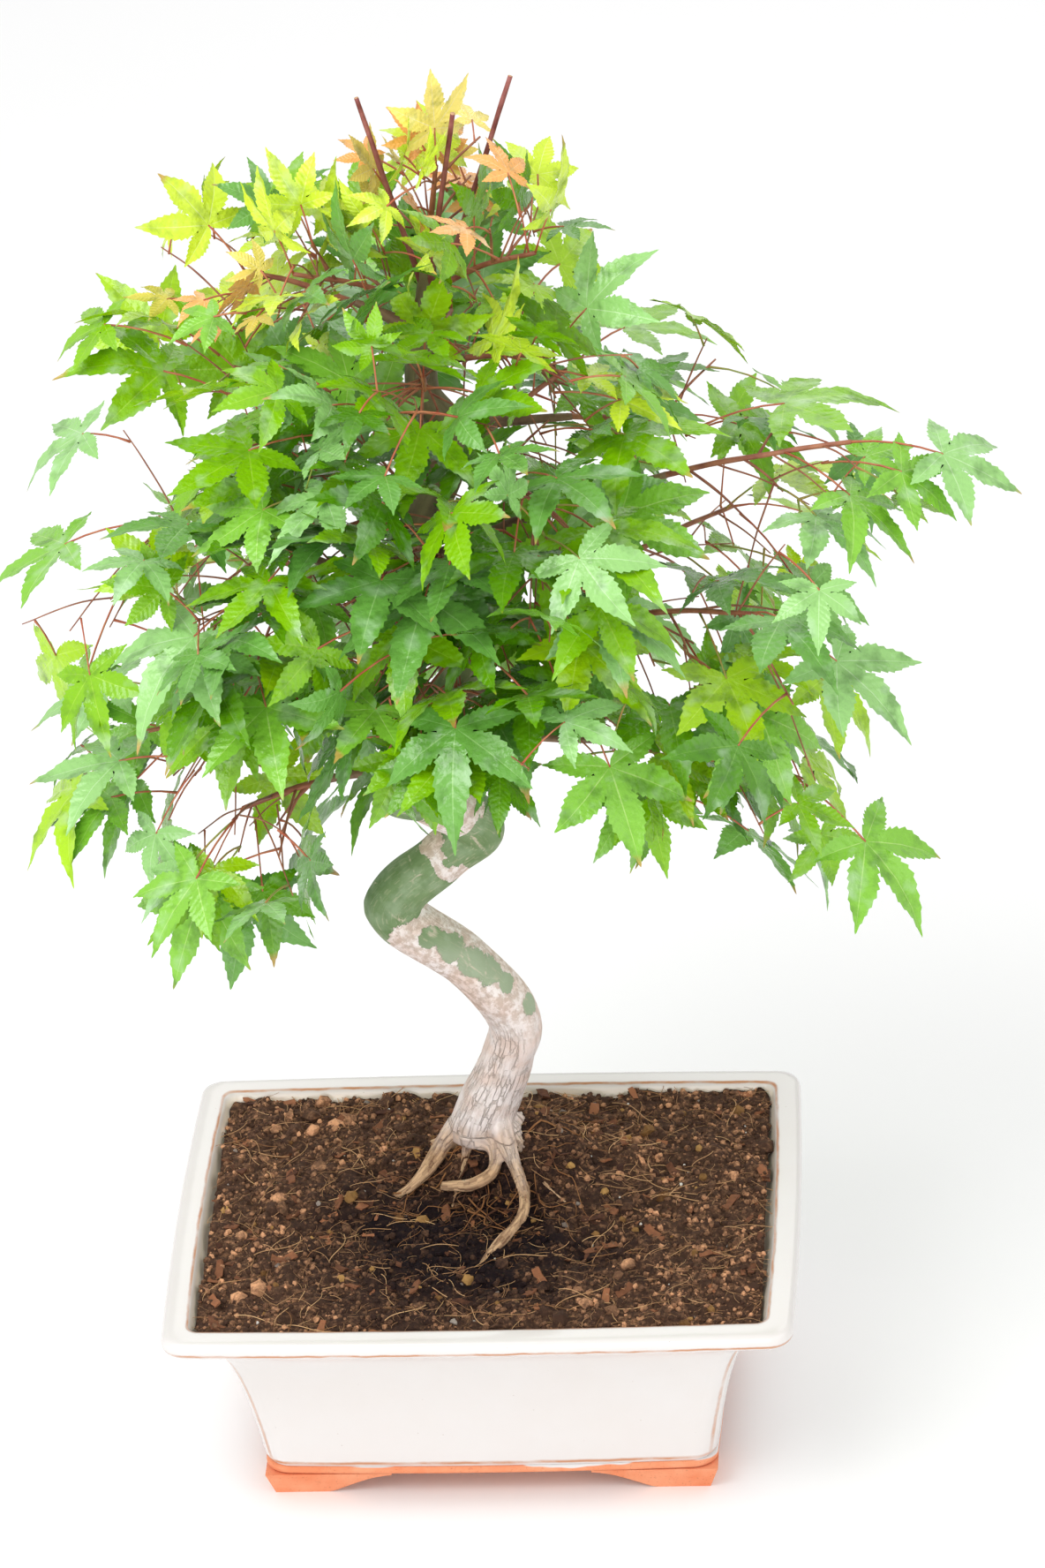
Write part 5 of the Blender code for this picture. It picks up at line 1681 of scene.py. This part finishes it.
def grow_pair(crown, mass, place, along):
    """A pair of leaves on opposite sides of a shoot's end or node; returns how many found room."""
    rng = mass.random
    mass.spray = mass.sprays.random()
    side = turned_side(along, rng)
    made = 0
    for sign in (1, -1):
        for attempt in range(FINE_LEAF_ATTEMPTS if mass.fine else LEAF_ATTEMPTS):
            spread_way = side * sign * rng.uniform(*STALK_SPREAD_RANGE)
            forward = along * rng.uniform(*STALK_FORWARD_RANGE)
            way = forward + spread_way + UP * STALK_RISE + mass.stray() * STALK_STRAY
            stalk_way = way.normalized()
            lobe_way, face_way = leaf_ways(mass, stalk_way, rng.uniform(*LEAF_DROOP_RANGE))
            length = STALK_LENGTH * mass.leaf_share * rng.uniform(*STALK_LENGTH_RANGE)
            size = BLADE_LENGTH * mass.leaf_share
            size *= rng.uniform(1 - BLADE_VARIATION, 1 + BLADE_VARIATION)
            if mass.fine:
                size *= rng.uniform(*FINE_SIZE_RANGE) * true_share(place)
            if crown.add_leaf(mass, Leaf(place, stalk_way, length, lobe_way, face_way, size)):
                made += 1
                break
    return made


def grow_shoot(crown, mass, place, along):
    """A side shoot that ends in a pair of leaves; it is left out if neither finds room."""
    rng = mass.random
    side = turned_side(along, rng)
    way = (along * rng.uniform(*SHOOT_FORWARD_RANGE) + side).normalized()
    reach = FINE_SHOOT_RANGE if mass.fine else SHOOT_LENGTH_RANGE
    end = place + way * SHOOT_LENGTH * mass.leaf_share * rng.uniform(*reach)
    if not crown.add_shoot(mass, place, end):
        return
    if grow_pair(crown, mass, end.lerp(place, NODE_SETBACK), way) == 0:
        mass.shoots.pop()
        crown.shells.pop()


def stem_stops(mass, line):
    """The nodes of the mass's stem, from its foot at the bough's tip out to its tip leaf."""
    start_share = mass.share + STEM_START_GAP / (line[-1] - line[0]).length
    length = (line[-1] - read_line(line, start_share)).length
    steps = max(2, round(length / NODE_SPACING))
    ends = [start_share + (1 - start_share) * step / steps for step in range(steps + 1)]
    return [read_line(line, share) for share in ends]


def grow_crown(crown, stems):
    """Every stem with its tip leaf, then pairs of leaves at its nodes, then side shoots, by turns."""
    for mass, stops in stems:
        crown.add_stem(mass, stops)
        crown.add_leaf(mass, mass.end_leaf, sure=True)
    for attempt in range(SHOOT_ATTEMPTS):
        for mass, stops in stems:
            if len(mass.leaves) >= LEAVES_PER_MASS:
                continue
            if attempt < len(stops) - 1:
                step = len(stops) - 1 - attempt
                place = stops[step].lerp(stops[step - 1], NODE_SETBACK)
                grow_pair(crown, mass, place, (stops[step] - stops[step - 1]).normalized())
            else:
                step = mass.random.randint(1, len(stops) - 1)
                place = stops[step].lerp(stops[step - 1], mass.draw(SHOOT_PLACE_RANGE))
                grow_shoot(crown, mass, place, (stops[step] - stops[step - 1]).normalized())


def grow_finer(crown, stems, leaves):
    """Carry the rule on: finer shoots from stems and shoots, until each mass has its leaves."""
    for mass, stops in stems:
        mass.fine = True
        shrink_leaves(mass)
    crown.take_room_again()
    for attempt in range(FINE_ATTEMPTS):
        for mass, stops in stems:
            if len(mass.leaves) >= leaves * mass.fullness:
                continue
            if mass.shoots and mass.random.random() < FINE_FROM_SHOOT:
                start, end, _ = mass.random.choice(mass.shoots)
            else:
                step = mass.random.randint(1, len(stops) - 1)
                start, end = stops[step - 1], stops[step]
            place = start.lerp(end, mass.draw(SHOOT_PLACE_RANGE))
            grow_shoot(crown, mass, place, (end - start).normalized())


def true_share(place):
    """A blade's size as a share of the solids' leaves, which stand for more than one: nearly whole
    in the middle of the crown and smaller towards its edge."""
    far = math.hypot(place.x - CROWN_HEART.x, place.y - CROWN_HEART.y) / OUTER_REACH
    return INNER_SIZE + (OUTER_SIZE - INNER_SIZE) * min(1.0, far)


def in_sky(leaf):
    """True if a blade's middle lies where the crown lets the sky through."""
    middle = leaf.out_on(BLADE_MIDDLE)
    depth = middle.y - CROWN_HEART.y
    x = middle.x + SKY_SHIFT * depth
    height = middle.z + SKY_FALL * depth
    return any(
        math.hypot(x - gap_x * MM, height - gap_height * MM) < radius * MM + SKY_CLEAR
        for gap_x, gap_height, radius in SKY_GAPS
    )


def in_reach(points):
    """True if all the points lie within the solids' own reach."""
    return all(
        low <= part <= high
        for point in points for low, part, high in zip(REACH[0], point, REACH[1])
    )


def bears_leaf(mass, shoot):
    start, end, _ = shoot
    return any(line_distance(leaf.foot, start, end) < FOOT_CLEARANCE for leaf in mass.leaves)


def shrink_leaves(mass):
    """Bring the leaves that the solids have down to their true size. The tip leaf keeps its tip,
    and the others slide out a little on longer stalks, but for those that hide the sky."""
    for leaf in mass.leaves:
        share = true_share(leaf.joint)
        slide = 1.0 if leaf is mass.end_leaf else SLIDE_OUT
        leaf.joint += leaf.turn.col[0] * leaf.size * (1 - share) * slide
        leaf.size *= share
    mass.leaves = [leaf for leaf in mass.leaves if leaf is mass.end_leaf or not in_sky(leaf)]
    mass.shoots = [shoot for shoot in mass.shoots if bears_leaf(mass, shoot)]


def limb_shells(limbs):
    """One shell round all the limbs, wider than they are, that no twig or leaf may touch."""
    vertices = []
    faces = []
    for path in limbs:
        shell_vertices, shell_faces = tube_shell(path, LIMB_CLEARANCE)
        faces += [tuple(len(vertices) + corner for corner in face) for face in shell_faces]
        vertices += shell_vertices
    return BVHTree.FromPolygons(vertices, faces)


def plan_crown(seed):
    """The masses with their ways out, the boughs and stubs as paths, and the crown to grow them in."""
    trunk_path = smooth_path(TRUNK_BENDS, TRUNK_RING_SPACING)
    masses = [Mass(row, index, trunk_path, seed) for index, row in enumerate(MASSES)]
    limbs = {}
    stems = []
    for mass in masses:
        mass.end_leaf = tip_leaf(mass)
        line = arc(mass.root, mass.end_leaf.foot, BOUGH_LIFT, WAY_STEPS)
        stems.append((mass, stem_stops(mass, line)))
        if mass.share > 0:
            limbs["bough_" + mass.name] = [
                (read_line(line, mass.share * t), BOUGH_RADIUS + (BOUGH_TIP_RADIUS - BOUGH_RADIUS) * t)
                for t in shares(BOUGH_POINTS - 1)
            ]
    for name, foot, tip in STUBS:
        tip_radius = STUB_RADIUS * STUB_TIP_SHARE
        limbs[name] = [(Vector(foot) * MM, STUB_RADIUS), (Vector(tip) * MM, tip_radius)]
    crown = Crown(masses, limb_shells([trunk_path, *limbs.values()]))
    return crown, stems, limbs


# Boughs and twigs

BOUGH_SIDES = 14
BOUGH_SPACING = 2.2 * MM
COLLAR_SWELL = 0.55
BOUGH_SHOWN_SHARE = 0.72
STUB_SHOWN_SHARE = 0.7
COLLAR_LENGTH = 9 * MM
BOUGH_BEND = 1.1 * MM
STUB_BEND = 0.4 * MM
WANDER_LENGTH = 18 * MM
WANDER_SWELL = 0.13


def wandering(path, spacing, bend, seed, collar=0.0):
    """A limb's path with more rings, small wanders and swellings, and a swollen collar at its foot."""
    # Without a seed, this noise of whole vectors starts from the clock and differs on each run.
    noise.seed_set(SEED)
    rings = finer(path, spacing)
    travelled = 0.0
    moved = []
    for index, (place, radius) in enumerate(rings):
        if index:
            travelled += (place - rings[index - 1][0]).length
        spot = Vector((travelled / WANDER_LENGTH, seed * 3.7, 0))
        ends = math.sin(math.pi * index / (len(rings) - 1))
        shift = noise.noise_vector(spot) * bend * ends
        swell = 1 + WANDER_SWELL * noise.noise(spot * 2.6 + UP * 5)
        swell += collar * math.exp(-travelled / COLLAR_LENGTH)
        moved.append((place + shift, radius * swell))
    return moved


class BONSAI_OT_boughs(bpy.types.Operator):
    """Build the boughs, and the stubs that were cut back at the top"""

    bl_idname = "bonsai.boughs"
    bl_label = "Build boughs"

    def execute(self, context):
        limbs = plan_crown(context.scene.bonsai_crown.seed)[2]
        heap = Heap()
        for index, (name, path) in enumerate(limbs.items()):
            stub = name.startswith("stub")
            bend = STUB_BEND if stub else BOUGH_BEND
            shown = STUB_SHOWN_SHARE if stub else BOUGH_SHOWN_SHARE
            path = [(place, radius * shown) for place, radius in path]
            rings = wandering(path, BOUGH_SPACING, bend, index, 0 if stub else COLLAR_SWELL)
            vertices, faces = capped_tube(rings, BOUGH_SIDES)
            slots = [2 if stub else 0] * len(faces)
            if stub:
                slots[-BOUGH_SIDES:] = [1] * BOUGH_SIDES
                vertices[-1] = rings[-1][0]
            heap.add(vertices, faces, slots)
        wood = twig_material("bough_bark", "#5A4030", "#8C7054")
        red = twig_material("stub_bark", "#6E302C", "#A0605A")
        cut = grain_material("cut_wood", "#C9A07A", "#E0C09A", 0.8, 1.0)
        dress(heap.finish("bough_bark", [wood, cut, red]), "young_bark", *limbs)
        return {"FINISHED"}


# Leaves

class BladePattern:
    """A serrated five-lobed blade of length 1 with its ribs, as points and a few dozen faces. Each
    point keeps its lobe, its distance out along that lobe and its distance from the lobe's rib."""

    def __init__(self):
        self.rows = []
        self.faces = []
        self.slots = []
        joint = self.at((0, 0), 0, 0, 0)
        notches = []
        for index, (angle, radius) in enumerate(BLADE_NOTCHES):
            turn = math.radians(angle)
            lobe = min(index, len(BLADE_LOBES) - 1)
            side = radius * abs(math.sin(math.radians(BLADE_LOBES[lobe][0]) - turn))
            place = (radius * math.cos(turn), radius * math.sin(turn))
            notches.append(self.at(place, lobe, radius, side))
        for lobe, row in enumerate(BLADE_LOBES):
            self.build_lobe(joint, lobe, row, notches[lobe], notches[lobe + 1])
        self.x, self.y, lobes, self.out, self.side = np.array(self.rows).T
        self.lobe = lobes.astype(int)

    def at(self, place, lobe, out, side):
        self.rows.append((*place, lobe, out, side))
        return len(self.rows) - 1

    def face(self, corners, slot=0):
        self.faces.append(corners)
        self.slots.append(slot)

    def build_lobe(self, joint, lobe, row, right, left):
        """One lobe: a slim pale rib from the joint to its tip, and a toothed half on each side."""
        angle, length, width, steps = row
        turn = math.radians(angle)
        way = np.array((math.cos(turn), math.sin(turn)))
        across = np.array((-way[1], way[0]))
        start = min(np.dot(self.rows[notch][:2], way) for notch in (right, left))
        start = max(start, length * RIB_FORK)
        stops = [start + (length - start) * step / steps for step in range(steps)]
        tip = self.at(way * length, lobe, length, 0)
        ribs = {-1: [joint], 1: [joint]}
        for out in stops:
            half = RIB_WIDTH * (RIB_TAPER * length - out)
            for sign, rib in ribs.items():
                rib.append(self.at(way * out + across * sign * half, lobe, out, 0))
        for sign, rib in ribs.items():
            rib.append(tip)
        self.face((joint, ribs[-1][1], ribs[1][1]), 1)
        for index in range(1, steps):
            self.face((ribs[-1][index], ribs[-1][index + 1], ribs[1][index + 1], ribs[1][index]), 1)
        self.face((ribs[-1][-2], tip, ribs[1][-2]), 1)
        stops.append(length)
        self.build_half(ribs[-1], way, -across, lobe, width, stops, right, -1)
        self.build_half(ribs[1], way, across, lobe, width, stops, left, 1)

    def build_half(self, rib, way, outward, lobe, width, stops, notch, sign):
        """The half of a lobe on one side of its rib, with teeth that point forward."""
        start, length = stops[0], stops[-1]
        faces = [(rib[0], rib[1], notch)]
        margin = notch
        for step in range(len(stops) - 1):
            corners = []
            way_on = stops[step + 1] - stops[step]
            ends = [stops[step] + way_on * tooth / TEETH for tooth in range(TEETH + 1)]
            for here, after in zip(ends, ends[1:]):
                out = here + (after - here) * TOOTH_FORWARD
                side = self.half_width(width, start, length, out)
                side += TOOTH_OUT * (1 - (out - start) / (length - start) * TOOTH_FADE)
                corners.append(self.at(way * out + outward * side, lobe, out, side))
                if after < length:
                    side = self.half_width(width, start, length, after) * VALLEY_IN
                    corners.append(self.at(way * after + outward * side, lobe, after, side))
            faces.append((rib[step + 1], rib[step + 2], *reversed(corners), margin))
            margin = corners[-1]
        for face in faces:
            self.face(face[::-1] if sign < 0 else face)

    def half_width(self, width, start, length, out):
        """Half the lobe's width: slim at the notch, widest before the middle, then drawn to a point."""
        t = (out - start) / (length - start)
        return width * (1 + LOBE_BELLY * t) * max(0.0, 1 - t) ** LOBE_POINT


def bent_blade(pattern, rng):
    """A blade's points with its own droop, fold, curls and sweeps; length 1, face up."""
    count = len(BLADE_LOBES)
    curls, sweeps, growth = (
        np.array([rng.uniform(*ends) for lobe in range(count)])[pattern.lobe]
        for ends in (CURL_RANGE, SWEEP_RANGE, LOBE_GROWTH_RANGE)
    )
    droop = rng.uniform(*DROOP_RANGE)
    fold = rng.uniform(*FOLD_RANGE)
    phase = rng.uniform(0, math.tau)
    x = pattern.x.copy()
    y = pattern.y.copy()
    past = np.maximum(0.0, pattern.out - CURL_START)
    angles = np.radians([row[0] for row in BLADE_LOBES])[pattern.lobe]
    sweep = sweeps * past ** 2
    longer = growth * past
    x += np.cos(angles) * longer - np.sin(angles) * sweep
    y += np.sin(angles) * longer + np.cos(angles) * sweep
    z = -droop * (x * x + y * y)
    z += fold * pattern.side
    z -= curls * past ** 2
    z += RIPPLE * np.sin(phase + RIPPLES * pattern.out) * (pattern.side > RIB_HALF_WIDTH)
    return np.stack((x, y, z), axis=1)


# Each tint's blade and rib. The pale greyish green after leafy paints the sheen of glossy leaves.
TINTS = {
    "deep": ("#4C8600", "#669A2E"),
    "moss": ("#609C00", "#7CB034"),
    "sea": ("#6AA444", "#8CBC6A"),
    "green": ("#80BA00", "#9AC836"),
    "leafy": ("#82C038", "#A8D46A"),
    "mist": ("#96CA76", "#B4DA9C"),
    "bright": ("#A4D204", "#B8DE46"),
    "fresh": ("#BEDE16", "#CEE856"),
    "lime": ("#CEE838", "#DEF080"),
    "yellow": ("#F9E474", "#FBECAA"),
    "orange": ("#F6B060", "#FACB8C"),
    "withered": ("#EEAE90", "#F5CCB4"),
}
# How light a spray is, up to each tint, partly painted light and shade, and how much painted shade darkens
# the masses in the shade.
TINT_STEPS = (
    (0.17, "deep"), (0.30, "moss"), (0.41, "sea"), (0.56, "green"), (0.67, "leafy"), (0.75, "mist"),
    (0.91, "bright"), (1.01, "fresh"),
)
PAINTED_SHADE_BY_MASS = {"middle_right": 0.24, "low_right": 0.14, "shoulder_right": 0.16, "middle_front_right": 0.1}
# Painted light and shade: sprays are tinted lighter towards the crown's edge and its top, and deeper
# inside.
PAINTED_LIGHT_INSIDE = 0.02
PAINTED_LIGHT_OUT = 0.46
PAINTED_LIGHT_DEPTH_WEIGHT = 0.4
LIGHTER_BY_SPRAY = 0.52
PAINTED_LIGHT_FROM = 400 * MM
PAINTED_LIGHT_UP = 0.0025
LIGHT_STRAY = 0.16
# The shares of a mass's sprays that are orange, yellow and lime.
BRIGHT_SHARES = {
    "apex": (0.43, 0.27, 0.3), "top_left": (0.08, 0.15, 0.35), "top_right": (0.08, 0.15, 0.35),
    "upper_left": (0.08, 0.12, 0.35), "upper_right": (0, 0, 0.2),
}
WITHERED_SHARE = {
    "low_front_right": 0.16, "middle_front_right": 0.12, "middle_right": 0.06, "low_front": 0.06,
    "upper_left": 0.08, "top_left": 0.06,
}
YOUNG_SIZES = {"withered": 0.72, "orange": 0.76, "yellow": 0.8}
LEAF_SLOTS = {
    "apex": "yellow_leaf", "top_right": "lime_leaf", "top_left": "lime_leaf",
    "upper_left": "lime_leaf",
}
TWIG_SPACING = 3 * MM
# The share of sprays with red stalks, and the leaf size under which every stalk is red.
RED_STALK_SHARE = 0.72
YOUNG_SHARE = 0.9


def tint_of(mass, leaf, rng):
    """A spray's tint: yellow, orange and lime near the apex, and a few withered leaves at the lower
    right. Its greens are partly painted light and shade: fresh green at the tips and low down at the
    edge, deep green inside and darker in the shaded masses."""
    if leaf.fine and leaf.spray < WITHERED_SHARE.get(mass.name, 0.0):
        return "withered"
    limit = 1.0
    for name, share in zip(("orange", "yellow", "lime"), BRIGHT_SHARES.get(mass.name, ())):
        limit -= share
        if leaf.spray > limit:
            return name
    # Painted light and shade: lighter further out from the crown's heart and higher up, deeper inside and
    # in shaded masses.
    middle = leaf.out_on(0.5)
    far = math.hypot(middle.x - CROWN_HEART.x, (middle.y - CROWN_HEART.y) * PAINTED_LIGHT_DEPTH_WEIGHT)
    above = max(0.0, middle.z - PAINTED_LIGHT_FROM) / MM
    light = PAINTED_LIGHT_INSIDE + PAINTED_LIGHT_OUT * far / OUTER_REACH + LIGHTER_BY_SPRAY * leaf.spray
    light += PAINTED_LIGHT_UP * above + rng.uniform(-LIGHT_STRAY, LIGHT_STRAY)
    light -= PAINTED_SHADE_BY_MASS.get(mass.name, 0.0)
    for limit, name in TINT_STEPS:
        if light < limit:
            return name
    return "lime"


def leaf_material(name, colour, gloss):
    """A maple blade: a thin waxy skin over soft green, satin, quilted between its side veins, with a
    painted sheen in pale clouds, painted shade in darker blotches and brown at a few dried tips."""
    made = Finish("blade_" + name, linear(colour), gloss, Specular_IOR_Level=0.6)
    out = made.value("out")
    # Painted sheen: pale clouds for the glossy blade's reflections. Painted shade: darker random blotches.
    base = mixed(made.grain(12, 2).spread(0.56, 0.72) * PAINTED_SHEEN, colour, "#CCE2CC")
    base = mixed(made.grain(9, 3).spread(0.48, 0.30) * PAINTED_LEAF_SHADE, base, "#2E5E0A")
    dried = (out + made.grain(30, 2)).spread(1.47, 1.58)
    base = mixed(dried * 0.8, base, "#C0904E")
    slant = out - made.value("side") * VEIN_SLANT
    veins = (slant * (math.tau / VEIN_SPACING)).step("SINE")
    pucker = made.grain(5, 3) + veins * VEIN_RELIEF
    return made.done(base, pucker, 0.85, made.grain(11, 2) * 0.24 + (gloss - 0.1))


def stalk_tube(leaf, radius):
    """A leaf stalk that bows a little on its way from the twig to the blade."""
    path = []
    for place, t in zip(arc(leaf.foot, leaf.joint, STALK_BOW, STALK_STEPS), shares(STALK_STEPS)):
        path.append((place, radius * (1 + STALK_FOOT_SWELL * (1 - min(1, t * STALK_STEPS)))))
    return capped_tube(path, STALK_SIDES)


def twig_paths(mass):
    """The mass's stem and shoots as smooth tapering paths; the stem starts inside its limb."""
    stops = [(place, radius * STEM_SHARE) for place, radius in mass.stem]
    first = stops[0][0] - (stops[1][0] - stops[0][0]).normalized() * STEM_ROOTING
    paths = [([(first, stops[0][1]), *stops], STEM_BEND, STEM_SIDES)]
    for start, end, fine in mass.shoots:
        share = FINE_TWIG_SHARE if fine else SHOOT_SHARE
        middle = start.lerp(end, 0.5) + UP * (end - start).length * SHOOT_BOW
        rows = [(start, SHOOT_RADIUS * share * SHOOT_FOOT_SWELL), (middle, SHOOT_RADIUS * share)]
        rows.append((end, SHOOT_TIP_RADIUS * share * SHOOT_TIP_SHARE))
        paths.append((rows, SHOOT_BEND, SHOOT_SIDES))
    return paths


class BONSAI_OT_foliage(bpy.types.Operator):
    """Grow every mass of foliage: twigs, stalks and leaves"""

    bl_idname = "bonsai.foliage"
    bl_label = "Grow foliage"

    def execute(self, context):
        crown_settings = context.scene.bonsai_crown
        bark = context.scene.bonsai_bark
        crown, stems, _ = plan_crown(crown_settings.seed)
        grow_crown(crown, stems)
        grow_finer(crown, stems, crown_settings.leaves)
        pattern = BladePattern()
        blades = []
        for name, (blade, rib) in TINTS.items():
            blades.append(leaf_material(name, blade, crown_settings.leaf_gloss))
            blades.append(leaf_material(name + "_rib", rib, crown_settings.leaf_gloss))
        wood = [
            twig_material("twig_bark", bark.twig, "#AC7052"),
            twig_material("red_stalk", bark.stalk, "#C67E5A"),
            twig_material("green_stalk", "#8FA24A", "#B98A4A"),
        ]
        for mass, _ in stems:
            self.make_mass(mass, pattern, blades, wood, crown_settings.seed)
        return {"FINISHED"}

    def make_mass(self, mass, pattern, blades, wood, seed):
        names = list(TINTS)
        rng = random.Random("{} {}".format(seed, mass.name))
        leaves = Heap("out", "side")
        twigs = Heap()
        for index, (rows, bend, sides) in enumerate(twig_paths(mass)):
            rings = wandering(rows, TWIG_SPACING, bend, index + len(mass.name))
            twigs.add(*capped_tube(rings, sides))
        for leaf in mass.leaves:
            tint = names.index(tint_of(mass, leaf, rng))
            blade = bent_blade(pattern, rng) * leaf.size
            roll = 0.0
            if leaf is not mass.end_leaf:
                blade *= YOUNG_SIZES.get(names[tint], 1.0)
                roll = rng.uniform(-BLADE_ROLL, BLADE_ROLL)
            turn = np.array(leaf.turn @ Matrix.Rotation(roll, 3, "Z"))
            slots = [tint * 2 + slot for slot in pattern.slots]
            blade = blade @ turn.T + np.array(leaf.joint)
            leaves.add(blade, pattern.faces, slots, out=pattern.out, side=pattern.side)
            red = leaf.spray < RED_STALK_SHARE or mass.leaf_share < YOUNG_SHARE
            twigs.add(*stalk_tube(leaf, FINE_STALK_RADIUS), 1 if red else 2)
        piece = leaves.finish("leaves_" + mass.name, blades)
        dress(piece, LEAF_SLOTS.get(mass.name, "leaf"), "foliage_" + mass.name)
        dress(twigs.finish("twigs_" + mass.name, wood), "young_bark", "foliage_" + mass.name)


# Stage

class BONSAI_OT_stage(bpy.types.Operator):
    """Set the pale floor, the soft studio light and the camera"""

    bl_idname = "bonsai.stage"
    bl_label = "Set stage"

    def execute(self, context):
        settings = context.scene.bonsai_stage
        self.set_floor(settings)
        self.set_lights(context, settings)
        self.set_camera(context)
        return {"FINISHED"}

    def set_floor(self, settings):
        bm = bmesh.new()
        bmesh.ops.create_circle(bm, cap_ends=True, segments=96, radius=FLOOR_RADIUS)
        mesh = mesh_from(bm, "floor")
        made = Finish("matt_white_floor", settings.floor, 0.55)
        tone = made.grain(400, 2).spread(0.3, 0.7)
        base = mixed(tone * 0.15, settings.floor, "#ECECEA")
        mesh.materials.append(made.done(base))
        placed("floor", mesh)

    def set_lights(self, context, settings):
        world = bpy.data.worlds.new("studio")
        world.use_nodes = True
        sky = world.node_tree.nodes["Background"]
        sky.inputs["Color"].default_value = (1, 1, 1, 1)
        sky.inputs["Strength"].default_value = settings.sky
        context.scene.world = world
        context.scene.view_settings.view_transform = "Standard"
        middle = PLAN + UP * LAMP_AIM
        for name, power, size, way in (
            ("key", settings.key, 1.1, (-0.75, -0.75, 1.25)),
            ("fill", settings.fill, 1.3, (1.3, -0.7, 0.7)),
            ("back", settings.fill, 1.2, (0.2, 1.4, 1.1)),
            ("front", settings.fill * 1.4, 1.0, (-0.15, -1.7, 0.15)),
        ):
            lamp = bpy.data.lights.new(name, "AREA")
            lamp.energy = power
            lamp.size = size
            item = placed(name, lamp)
            item.location = middle + Vector(way)
            item.rotation_euler = (-Vector(way)).to_track_quat("-Z", "Y").to_euler()

    def set_camera(self, context):
        pitch = math.radians(CAMERA_PITCH)
        yaw = math.radians(CAMERA_YAW)
        roll = math.radians(CAMERA_ROLL)
        ahead = Vector((
            math.sin(yaw) * math.cos(pitch), math.cos(yaw) * math.cos(pitch), -math.sin(pitch),
        ))
        level = Vector((math.cos(yaw), -math.sin(yaw), 0))
        above = level.cross(ahead)
        right = level * math.cos(roll) + above * math.sin(roll)
        upward = above * math.cos(roll) - level * math.sin(roll)
        lens = bpy.data.cameras.new("camera")
        lens.lens = CAMERA_LENS
        lens.clip_end = 100
        camera = placed("camera", lens)
        turn = Matrix((right, upward, -ahead)).transposed().to_4x4()
        place = PLAN + CAMERA_TARGET - ahead * CAMERA_DISTANCE
        camera.matrix_world = Matrix.Translation(place) @ turn
        context.scene.camera = camera


class BONSAI_PT_panel(bpy.types.Panel):
    """Settings and steps of the bonsai"""

    bl_idname = "BONSAI_PT_panel"
    bl_label = "Japanese maple bonsai"
    bl_space_type = "VIEW_3D"
    bl_region_type = "UI"
    bl_category = "Bonsai"

    def draw(self, context):
        for operator, group, name in STEPS:
            column = self.layout.column(align=True)
            if group:
                settings = getattr(context.scene, name)
                for key in settings.bl_rna.properties.keys():
                    if key not in ("rna_type", "name"):
                        column.prop(settings, key)
            column.operator(operator.bl_idname)


# Each step's operator, and its settings under their name in the scene.
STEPS = (
    (BONSAI_OT_stage, StageSettings, "bonsai_stage"),
    (BONSAI_OT_pot, PotSettings, "bonsai_pot"),
    (BONSAI_OT_soil, SoilSettings, "bonsai_soil"),
    (BONSAI_OT_trunk, BarkSettings, "bonsai_bark"),
    (BONSAI_OT_boughs, None, ""),
    (BONSAI_OT_foliage, CrownSettings, "bonsai_crown"),
)


def register():
    for operator, group, name in STEPS:
        if group:
            bpy.utils.register_class(group)
            setattr(bpy.types.Scene, name, PointerProperty(type=group))
        bpy.utils.register_class(operator)
    bpy.utils.register_class(BONSAI_PT_panel)


def unregister():
    bpy.utils.unregister_class(BONSAI_PT_panel)
    for operator, group, name in reversed(STEPS):
        bpy.utils.unregister_class(operator)
        if group:
            delattr(bpy.types.Scene, name)
            bpy.utils.unregister_class(group)


def main():
    """Register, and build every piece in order."""
    register()
    bpy.ops.bonsai.stage()
    bpy.ops.bonsai.pot()
    bpy.ops.bonsai.soil()
    bpy.ops.bonsai.trunk()
    bpy.ops.bonsai.boughs()
    bpy.ops.bonsai.foliage()


if __name__ == "__main__":
    main()
